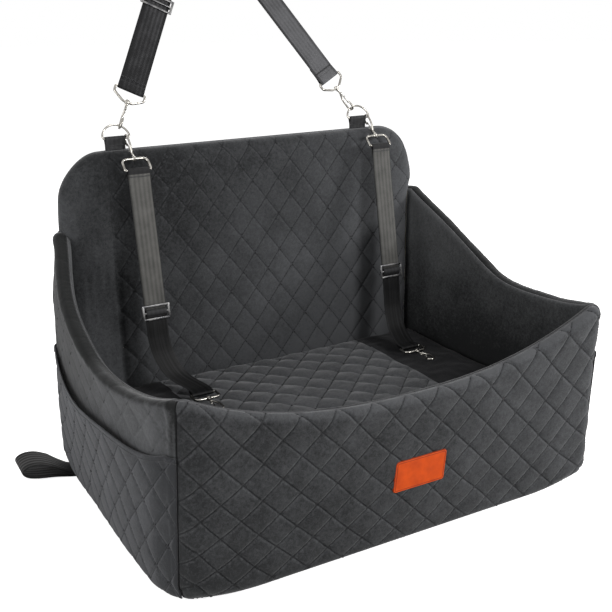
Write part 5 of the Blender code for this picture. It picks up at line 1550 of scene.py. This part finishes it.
def strap_leg(side):
    """Where a leg of the strap starts, the way it runs and the way its width lies."""
    out = Vector((-side * sin(LEG), 0, 0)) + LEAN * cos(LEG)
    across = Vector((cos(LEG), 0, 0)) + LEAN * (side * sin(LEG))
    boss = Vector((side * RING_X, SEAM_Y, BAR_Z)) + out * (RING_BOW + HOOK_SEAT)
    return boss, out, across


def build_strap():
    """The strap: a leg from each side, twisted on edge, and the arch between them."""
    stations = []
    for side in (-1, 1):
        boss, out, across = strap_leg(side)
        bar = boss + out * LOOP_HEIGHT
        reach = -bar.x / out.x
        straight_end = reach - STRAP_ARCH / tan(LEG)
        tail = STRAP_SLIDER + 0.0075 if side < 0 else STRAP_TAIL
        leg = []
        for s in np.linspace(tail, MEET, 40 if side < 0 else 8).tolist():
            leg.append((bar + out * s - LEAN_FRONT * PLY, across, -LEAN_FRONT))
        leg += [(bar + way * TURN, across, way) for way in half_turn(-LEAN_FRONT, out)]
        for s in np.linspace(MEET, STRAP_TWIST, 40).tolist():
            leg.append((bar + out * s + LEAN_FRONT * PLY, across, LEAN_FRONT))
        for share in [k / 30 for k in range(1, 31)]:
            turned = share * share * (3 - 2 * share)
            angle = pi / 2 * turned
            normal = LEAN_FRONT * cos(angle) + across * side * sin(angle)
            width = across * cos(angle) - LEAN_FRONT * (side * sin(angle))
            point = bar + out * (STRAP_TWIST + (straight_end - STRAP_TWIST) * share)
            leg.append((point + LEAN_FRONT * (PLY * (1 - turned)), width, normal))
        if side < 0:
            stations += leg
            apex = bar + out * reach
            centre = apex - LEAN * (STRAP_ARCH / sin(LEG))
            sweep = pi / 2 - LEG
            for angle in np.linspace(-sweep, sweep, 42)[1:-1].tolist():
                normal = Vector((sin(angle), 0, 0)) + LEAN * cos(angle)
                stations.append((centre + normal * STRAP_ARCH, LEAN_FRONT.copy(), normal))
        else:
            stations += [(p, -w, n) for p, w, n in reversed(leg)]
    tack = []
    for side in (-1, 1):
        boss, out, across = strap_leg(side)
        for row in (0.0095, 0.0115, 0.0180, 0.0195):
            place = boss + out * (LOOP_HEIGHT + row) + LEAN_FRONT * (2 * PLY + 0.0002)
            tack.append([place + across * x for x in (-0.021, 0, 0.021)])
    sewn("headrest_strap_tack", tack, seam_thread, "head_strap", "webbing", Pitch=0.0026,
         Length=0.0023)
    centre, width, normal = (np.array([list(v) for v in part]) for part in zip(*stations))
    piece = band("headrest_strap_webbing", centre, width, normal, width=STRAP_WIDTH)
    finish_piece(piece, head_webbing, "head_strap", "webbing", "headrest_strap")


build_strap()

# %% [markdown]
# Two short bands hold the D-rings: each is folded round the ring's bar and sewn into the
# top seam. A longer one at each lower corner makes a loop that lies on the floor.

# %% Ring tabs and anchor loops
ANCHOR_WIDTH, ANCHOR_Y, ANCHOR_SLANT = 0.050, 0.212, tan(radians(20))


def build_tab(side, word):
    """A tab round a D-ring's bar, with the box of stitches that holds it."""
    x = side * RING_X - TAB_ASIDE
    bulb = 0.0029 + WEBBING / 2
    path = [Vector((x, SEAM_Y - PLY, BACK_HEIGHT - 0.004)),
            Vector((x, SEAM_Y - PLY, BACK_HEIGHT + 0.008))]
    for k in range(13):
        angle = pi + 0.35 - (pi + 0.70) * k / 12
        path.append(Vector((x, SEAM_Y + bulb * cos(angle), BAR_Z + bulb * sin(angle))))
    path += [Vector((x, SEAM_Y + PLY, BACK_HEIGHT + 0.008)),
             Vector((x, SEAM_Y + PLY, BACK_HEIGHT - 0.004))]
    piece = plane_band(word + "_tab_webbing", path, (1, 0, 0), step=0.0012, width=TAB_WIDTH)
    finish_piece(piece, tab_webbing, "tub", "webbing", word + "_ring_tab")
    face = SEAM_Y - 2 * PLY - 0.0001
    corners = [(x - 0.015, 0.0015), (x + 0.015, 0.0015), (x + 0.015, 0.0080),
               (x - 0.015, 0.0080), (x - 0.015, 0.0015)]
    box = [(px, face, BACK_HEIGHT + pz) for px, pz in corners]
    sewn(word + "_tab_stitches", [box], seam_thread, slot_name="webbing", Pitch=0.0026,
         Length=0.0022)


def build_anchor_loop(side, word):
    """A soft loop: it stands up behind the corner, droops to its tip and turns back."""
    low = 0.0004 + WEBBING / 2
    high = low + WEBBING + 0.0003
    root = HALF_W - 0.020
    flat = [(root, low), (HALF_W, low), (HALF_W + 0.030, low + 0.0020),
            (HALF_W + 0.060, low + 0.0020), (HALF_W + 0.075, low + 0.0050),
            (HALF_W + 0.0810, low + 0.0110), (HALF_W + 0.0785, low + 0.0180),
            (HALF_W + 0.068, low + 0.0245), (HALF_W + 0.052, low + 0.0262),
            (HALF_W + 0.034, low + 0.0210), (HALF_W + 0.016, low + 0.0120),
            (HALF_W, high + 0.0040), (root, high)]
    path = [Vector((side * x, ANCHOR_Y + (x - root) * ANCHOR_SLANT, z)) for x, z in flat]
    piece = plane_band(word + "_anchor_webbing", path, (0, 1, 0), step=0.0022, width=ANCHOR_WIDTH)
    # Its rear edge stands a little higher than its front edge.
    for vertex in piece.data.vertices:
        reach = abs(vertex.co.x) - root
        aside = vertex.co.y - ANCHOR_Y - reach * ANCHOR_SLANT + ANCHOR_WIDTH / 2
        vertex.co.z += 0.11 * aside * min(max((reach - 0.02) / 0.03, 0), 1)
    finish_piece(piece, floor_webbing, "tub", "webbing", word + "_anchor_loop")


for side, word in SIDES:
    build_tab(side, word)
    build_anchor_loop(side, word)

# %% [markdown]
# The hooks, loops and rings are bent and cast zinc or steel with a bright nickel plate.
# Nickel is a warm metal: it mirrors the white studio, with faint waves from polishing.
# The sliders are a darker, duller plate.

# %% Metal materials


def plated(name, dark, light, roughness, wave=0.25):
    """Plated metal with polishing waves, and painted occlusion shade darkening its hollows."""
    material, add = new_material(name)
    place = add("TexCoord", out="Object")
    ripple = add("TexNoise", {"Vector": place, "Scale": 320.0, "Detail": 2.0})
    smear = add("TexNoise", {"Vector": place, "Scale": 90.0, "Detail": 3.0})
    rough = add("MapRange", [smear, 0.3, 0.7, roughness * 0.7, roughness * 1.4])
    color = add("ValToRGB", [smear], stops=[(0.35, dark), (0.65, light)])
    # Painted shade: ambient occlusion darkens the colour in hollows and where parts touch.
    open_to = add("AmbientOcclusion", {"Distance": 0.006}, out="AO", samples=8)
    occlusion_shade = add("MapRange", [open_to, 0.25, 0.95, 0.62, 1])
    color = add("MixRGB", [1.0, color, occlusion_shade], blend_type="MULTIPLY")
    return coated(material, color, ripple, wave, 0.0002, {"Metallic": 1.0, "Roughness": rough})


nickel_plate = plated("nickel_plate", "8d8a84", "b4b1ab", 0.20)
dark_plate = plated("dark_plate", "5e5e60", "828180", 0.33, 0.15)

# %% [markdown]
# A snap hook is one shape used six times: a stem with a rivet head that turns in the
# loop's eye, a curved body, and a sprung gate with a thumb knob that closes on its tip.

# %% Snap hooks, loops and rings


def solid_of_turns(name, profile, segments=20):
    """A turned solid about the y axis from (radius, y) points."""
    mesh = bmesh.new()
    rings = []
    for radius, y in profile:
        ring = []
        if radius < 1e-6:
            ring = [mesh.verts.new((0, y, 0))]
        else:
            for k in range(segments):
                a = 2 * pi * k / segments
                ring.append(mesh.verts.new((radius * cos(a), y, radius * sin(a))))
        rings.append(ring)
    for low, high in zip(rings[:-1], rings[1:]):
        for k in range(segments):
            n = (k + 1) % segments
            if len(low) == 1:
                mesh.faces.new((low[0], high[k], high[n]))
            elif len(high) == 1:
                mesh.faces.new((low[k], high[0], low[n]))
            else:
                mesh.faces.new((low[k], high[k], high[n], low[n]))
    bmesh.ops.recalc_face_normals(mesh, faces=mesh.faces[:])
    return new_piece(name, mesh, 40)


def place_piece(piece, matrix):
    """Moves the mesh itself, so that the object stays at the origin."""
    piece.data.transform(matrix)
    return piece


LUG_PLACE = Matrix.Translation((0.0019, 0.0135, 0))


def hook_shape(name, matrix):
    """The hook's body: wire that swells at the bend, stem, shoulder, head and lug."""
    path = [(0, 0.0038), (0, 0.009), (0, 0.012), (-0.0030, 0.018), (-0.0060, 0.0245),
            (-0.0072, 0.031), (-0.0073, 0.037)]
    path += arc_points((0, HOOK_LENGTH), 0.0073, pi, 0, 14)
    path += [(0.0069, 0.0375), (0.0059, 0.0335)]
    centre = smooth_path([(x, y, 0) for x, y in path], 0.0009)
    wire = tube(name + "_wire", centre, 0.00185, sides=12)
    stem = solid_of_turns(name + "_stem", [(0, -0.0044), (0.0022, -0.0043),
                          (0.0030, -0.0038), (0.0030, -0.0029), (0.0018, -0.0028),
                          (0.0018, 0.0028), (0.0031, 0.0029), (0.0033, 0.0035),
                          (0.0031, 0.0047), (0.0022, 0.0062), (0.0016, 0.0085), (0, 0.0088)])
    lug = solid_of_turns(name + "_lug", [(0, -0.0018), (0.0019, -0.0018), (0.0023, -0.0014),
                         (0.0023, 0.0014), (0.0019, 0.0018), (0, 0.0018)])
    place_piece(lug, LUG_PLACE @ Matrix.Rotation(pi / 2, 4, "X"))
    tip = solid_of_turns(name + "_tip", [(0, -0.0019), (0.0012, -0.0016), (0.0016, -0.0004),
                         (0.0015, 0.0010), (0.0009, 0.0018), (0, 0.0020)])
    place_piece(tip, Matrix.Translation((0.0058, 0.0340, 0)))
    return place_piece(join_pieces(name, [wire, stem, lug, tip]), matrix)


def gate_shape(name, matrix):
    """The gate: a thin bar from the lug to the tip, with its knob."""
    lean = atan2(0.0008, 0.0215)
    bar = solid_of_turns(name + "_bar", [(0, 0.0026), (0.0009, 0.0027), (0.0010, 0.0032),
                         (0.0010, 0.0208), (0.0007, 0.0214), (0, 0.0215)], 14)
    knob = solid_of_turns(name + "_knob", [(0, 0.0004), (0.0008, 0.0006), (0.0008, 0.0026),
                          (0.0013, 0.0030), (0.0014, 0.0037), (0.0009, 0.0042), (0, 0.0043)], 14)
    place_piece(knob, Matrix.Translation((0, 0.008, 0)) @ Matrix.Rotation(-pi / 2, 4, "Z"))
    return place_piece(join_pieces(name, [bar, knob]),
                       matrix @ LUG_PLACE @ Matrix.Rotation(-lean, 4, "Z"))


def loop_shape(name, matrix, shouldered):
    """A strap loop of round wire with a bored eye for the stem."""
    if shouldered:
        right = [(STRAP_LOOP_HALF, -LOOP_HEIGHT), (STRAP_LOOP_HALF, -0.012), (0.008, 0)]
    else:
        right = [(LOOP_HALF, -LOOP_HEIGHT), (LOOP_HALF, 0)]
    corners = right + [(-x, y) for x, y in reversed(right)]
    points = []
    for k, corner in enumerate(corners):
        here = Vector(corner)
        before = (Vector(corners[k - 1]) - here).normalized()
        after = (Vector(corners[(k + 1) % len(corners)]) - here).normalized()
        trim = 0.0095 if not shouldered and corner[1] == 0 else 0.0036
        for t in (0, 0.17, 0.33, 0.5, 0.67, 0.83, 1):
            start, end = here + before * trim, here + after * trim
            points.append((1 - t) ** 2 * start + 2 * t * (1 - t) * here + t * t * end)
    wire = tube(name + "_wire", [(p.x, p.y, 0) for p in points], 0.0022, True, sides=12)
    eye = solid_of_turns(name + "_eye", [(0.0021, -0.0025), (0.0038, -0.0025),
                         (0.0042, -0.0020), (0.0042, 0.0020), (0.0038, 0.0025),
                         (0.0021, 0.0025), (0.0021, -0.0025)], 24)
    return place_piece(join_pieces(name, [wire, eye]), matrix)


def d_ring_shape(name, matrix):
    """A straight bar and a round bow, joined by two small corners."""
    reach = sqrt((RING_BOW - RING_CORNER) ** 2 - RING_CORNER ** 2)
    meet = atan2(RING_CORNER, reach)
    right_side = arc_points((reach, RING_CORNER), RING_CORNER, -pi / 2, meet, 8)
    bow = arc_points((0, 0), RING_BOW, meet, pi - meet, 40)[1:-1]
    points = right_side + bow + [(-x, y) for x, y in reversed(right_side)]
    piece = tube(name, [(x, y, 0) for x, y in points], RING_WIRE, True, sides=14)
    return place_piece(piece, matrix)


def metal(piece, body, node_name, material=nickel_plate):
    finish_piece(piece, material, body, "nickel", node_name)


for side, word in SIDES:
    ring, tether = word + "_d_ring", word + "_tether"
    ring_place = placing((side * RING_X, SEAM_Y, BAR_Z), (1, 0, 0), LEAN)
    metal(d_ring_shape(ring + "_wire", ring_place), ring, ring)
    boss, out, across = strap_leg(side)
    up = Vector((0, sin(TETHER_ANGLE), cos(TETHER_ANGLE)))
    toward_pad = Vector((0, cos(TETHER_ANGLE), -sin(TETHER_ANGLE)))
    hung = Vector((tether_x(side), SEAM_Y, BAR_Z)) - up * HOOK_SEAT
    foot = tethers[side][2] + Vector((0, -LOOP_HEIGHT, 0))
    # Each row: name, place of the boss, ways of the loop's width, of the hook's mouth and
    # back along the hook, and the bodies of loop and hook.
    for end, place, wide, mouth, along, loop_body, hook_body in (
            ("_headrest", boss, across, LEAN_FRONT, -out, "head_strap", "head_strap"),
            ("_upper", hung, (1, 0, 0), toward_pad, up, tether, tether),
            ("_lower", foot, (1, 0, 0), (-1, 0, 0), (0, -1, 0), tether, word + "_lower_hook")):
        name = word + end
        hook_place = placing(place, mouth, along)
        metal(loop_shape(name + "_loop_wire", placing(place, wide, along),
                         end == "_headrest"), loop_body, name + "_loop")
        metal(hook_shape(name + "_hook_body", hook_place), hook_body, name + "_hook")
        metal(gate_shape(name + "_gate_bar", hook_place), name + "_gate", name + "_gate")

# %% [markdown]
# A slider is a cast ladder of three bars with a keeper bar behind it. The band goes up
# behind the ladder and round the middle bar. Here it is built from rounded bars.

# %% Sliders
SLIDER_FRONT = 0.00155 + GAP + 0.0009


def rounded_bar(name, start, end, width, height):
    """A bar with rounded long edges, between two points along x or y."""
    mesh = bmesh.new()
    bmesh.ops.create_cube(mesh, size=1)
    a, b = Vector(start), Vector(end)
    long_axis = 0 if abs(b.x - a.x) > abs(b.y - a.y) else 1
    size = [width, width, height]
    size[long_axis] = (b - a).length + (width if long_axis == 1 else 0)
    bmesh.ops.scale(mesh, vec=size, verts=mesh.verts[:])
    bmesh.ops.translate(mesh, vec=(a + b) / 2, verts=mesh.verts[:])
    bmesh.ops.bevel(mesh, geom=mesh.edges[:], offset=min(width, height) * 0.32, segments=3,
                    affect="EDGES", profile=0.5)
    return new_piece(name, mesh)


def slider_shape(name, matrix, webbing_width):
    """The ladder and its keeper, for webbing of a width."""
    front = SLIDER_FRONT
    half_w = webbing_width / 2 + SLIDER_RAIL - SLIDER_INSET
    half_h = SLIDER_HALF_H - SLIDER_INSET
    parts = []
    for number, y in enumerate((-half_h, 0, half_h)):
        parts.append(rounded_bar(name + "_bar%d" % number, (-half_w, y, front),
                                 (half_w, y, front), 0.0040 if y else 0.0028, 0.0025))
    for number, x in enumerate((-half_w, half_w)):
        parts.append(rounded_bar(name + "_rail%d" % number, (x, -half_h, front),
                                 (x, half_h, front), 0.0040, 0.0024))
        parts.append(rounded_bar(name + "_post%d" % number, (x * 0.985, -0.0001, 0),
                                 (x * 0.985, 0.0001, 0), 0.0024, 2 * front + 0.0010))
    parts.append(rounded_bar(name + "_keeper", (-half_w, 0, -front), (half_w, 0, -front),
                             0.0026, 0.0018))
    return place_piece(join_pieces(name, parts), matrix)


def slider_turn(name, matrix, webbing_width):
    """The turn of webbing over a slider's middle bar."""
    places = [(0, y, SLIDER_FRONT + lift) for y, lift in ((0.0050, -0.0011),
              (0.0036, 0.0009), (0, 0.0020), (-0.0036, 0.0009), (-0.0050, -0.0011))]
    turn = plane_band(name, places, (1, 0, 0), step=0.0006, width=webbing_width * 0.95,
                      thickness=0.0009)
    return place_piece(turn, matrix)


boss, out, across = strap_leg(-1)
adjusters = [(word, tethers[side][0], Vector((1, 0, 0)), tethers[side][1], WEBBING_WIDTH)
             for side, word in SIDES]
adjusters.append(("headrest", boss + out * (LOOP_HEIGHT + STRAP_SLIDER), across, LEAN_FRONT,
                  STRAP_WIDTH))
for word, place, wide, face, width in adjusters:
    name = word + "_slider"
    matrix = placing(place, wide, face.cross(wide))
    metal(slider_shape(name + "_ladder", matrix, width), name, name, dark_plate)
    if word != "headrest":
        finish_piece(slider_turn(name + "_turn", matrix, width), tab_webbing, name, "webbing")

# %% [markdown]
# The patch is a blank piece of orange leather-look vinyl with a raised border, pressed
# into it by a hot stamp.

# %% Blank patch
PATCH_X, PATCH_Z = 0.0165, 0.1105


def vinyl(name, dark, light):
    """Pressed vinyl, pores about 0.7 mm apart, darker in its border groove and along its outer
    edge.
    """
    material, add = new_material(name)
    place = add("TexCoord", out="Object")
    grain = add("TexVoronoi", {"Vector": place, "Scale": 1400.0})
    cloud = add("TexNoise", {"Vector": place, "Scale": 60.0, "Detail": 3.0})
    color = add("ValToRGB", [cloud], stops=[(0.3, dark), (0.7, light)])
    depth = add("SeparateXYZ", [add("UVMap", uv_map="border")]).node.outputs["X"]
    groove = add("Math COMPARE", [depth, 0.0028, 0.0007])
    rim = add("Math LESS_THAN", [depth, 0.0007])
    groove = add("Math MAXIMUM", [groove, rim])
    groove = add("Math MULTIPLY", [groove, 0.65])
    color = add("MixRGB", [groove, color, linear("6a1f06")])
    return coated(material, color, grain, 0.12, 0.0002,
                  {"Roughness": 0.55, "Specular IOR Level": 0.2})


def build_patch():
    width, height, corner = 0.093, 0.049, 0.005
    x, z = np.meshgrid(np.linspace(-1, 1, 121) * width / 2, np.linspace(-1, 1, 61) * height / 2,
                       indexing="ij")
    # Squares to a rounded outline: points past the corner's centre are drawn in.
    cx, cz = width / 2 - corner, height / 2 - corner
    ax, az = np.abs(x) - cx, np.abs(z) - cz
    both = (ax > 0) & (az > 0)
    factor = np.maximum(ax, az) / np.maximum(np.hypot(ax, az), 1e-9)
    x = np.where(both, np.sign(x) * (cx + ax * factor), x)
    z = np.where(both, np.sign(z) * (cz + az * factor), z)
    ax, az = np.abs(x) - cx, np.abs(z) - cz
    inside = np.where((ax > 0) & (az > 0), corner - np.hypot(ax, az),
                      np.minimum(width / 2 - np.abs(x), height / 2 - np.abs(z)))
    rise = 0.0016 * np.sqrt(np.clip(1 - (1 - np.clip(inside / 0.0012, 0, 1)) ** 2, 0, 1))
    rise -= 0.00070 * np.exp(-((inside - 0.0028) / 0.0006) ** 2)
    x = x + PATCH_X + 0.11 * z
    front = stacked(x, -HALF_D - 0.0012 - rise, z + PATCH_Z)
    back = stacked(x, 0 * x - HALF_D + 0.0006, z + PATCH_Z)
    depths = stacked(inside, 0 * inside).reshape(-1, 2)
    return two_sided("front_patch_face", front, back,
                     {"border": np.concatenate([depths, depths])})


finish_piece(build_patch(), vinyl("orange_vinyl", "ac3a00", "c34700"), "tub", "patch",
             "front_patch")

# %% [markdown]
# The hidden parts keep their solids and get plain workshop finishes: the foam its open
# cells, the board its pressed grain, and the underside a cloth with rubber dots.

# %% Finishes of the solids that stay


def board_material():
    material, add = new_material("pressed_board")
    place = add("TexCoord", out="Object")
    fleck = add("TexNoise", {"Vector": place, "Scale": 400.0, "Detail": 4.0})
    color = add("ValToRGB", [fleck], stops=[(0.35, "26262a"), (0.65, "33343a")])
    return coated(material, color, fleck, 0.3, 0.0004, {"Roughness": 0.6})


def grip_cloth():
    """Woven underside with rubber dots 3 mm wide, 9 mm apart."""
    material, add = new_material("dotted_grip_cloth")
    place = add("TexCoord", out="Object")
    dots = add("TexVoronoi", {"Vector": place, "Scale": 1 / 0.009, "Randomness": 0.0},
               voronoi_dimensions="2D")
    dot = add("MapRange", [dots, 0.14, 0.20, 1, 0])
    thread = add("TexNoise", {"Vector": place, "Scale": 900.0})
    tone = add("Math MULTIPLY_ADD", [dot, 0.5, add("Math MULTIPLY", [thread, 0.4])])
    color = add("ValToRGB", [tone], stops=[(0.15, "1b1c1d"), (0.75, "3a3b3d")])
    return coated(material, color, dot, 0.6, 0.0008, {"Roughness": 0.85})


for name, material in (("base_foam", foam), ("base_board", board_material()),
                       ("base_cover", grip_cloth())):
    for slot_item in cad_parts[name].material_slots:
        slot_item.material = material
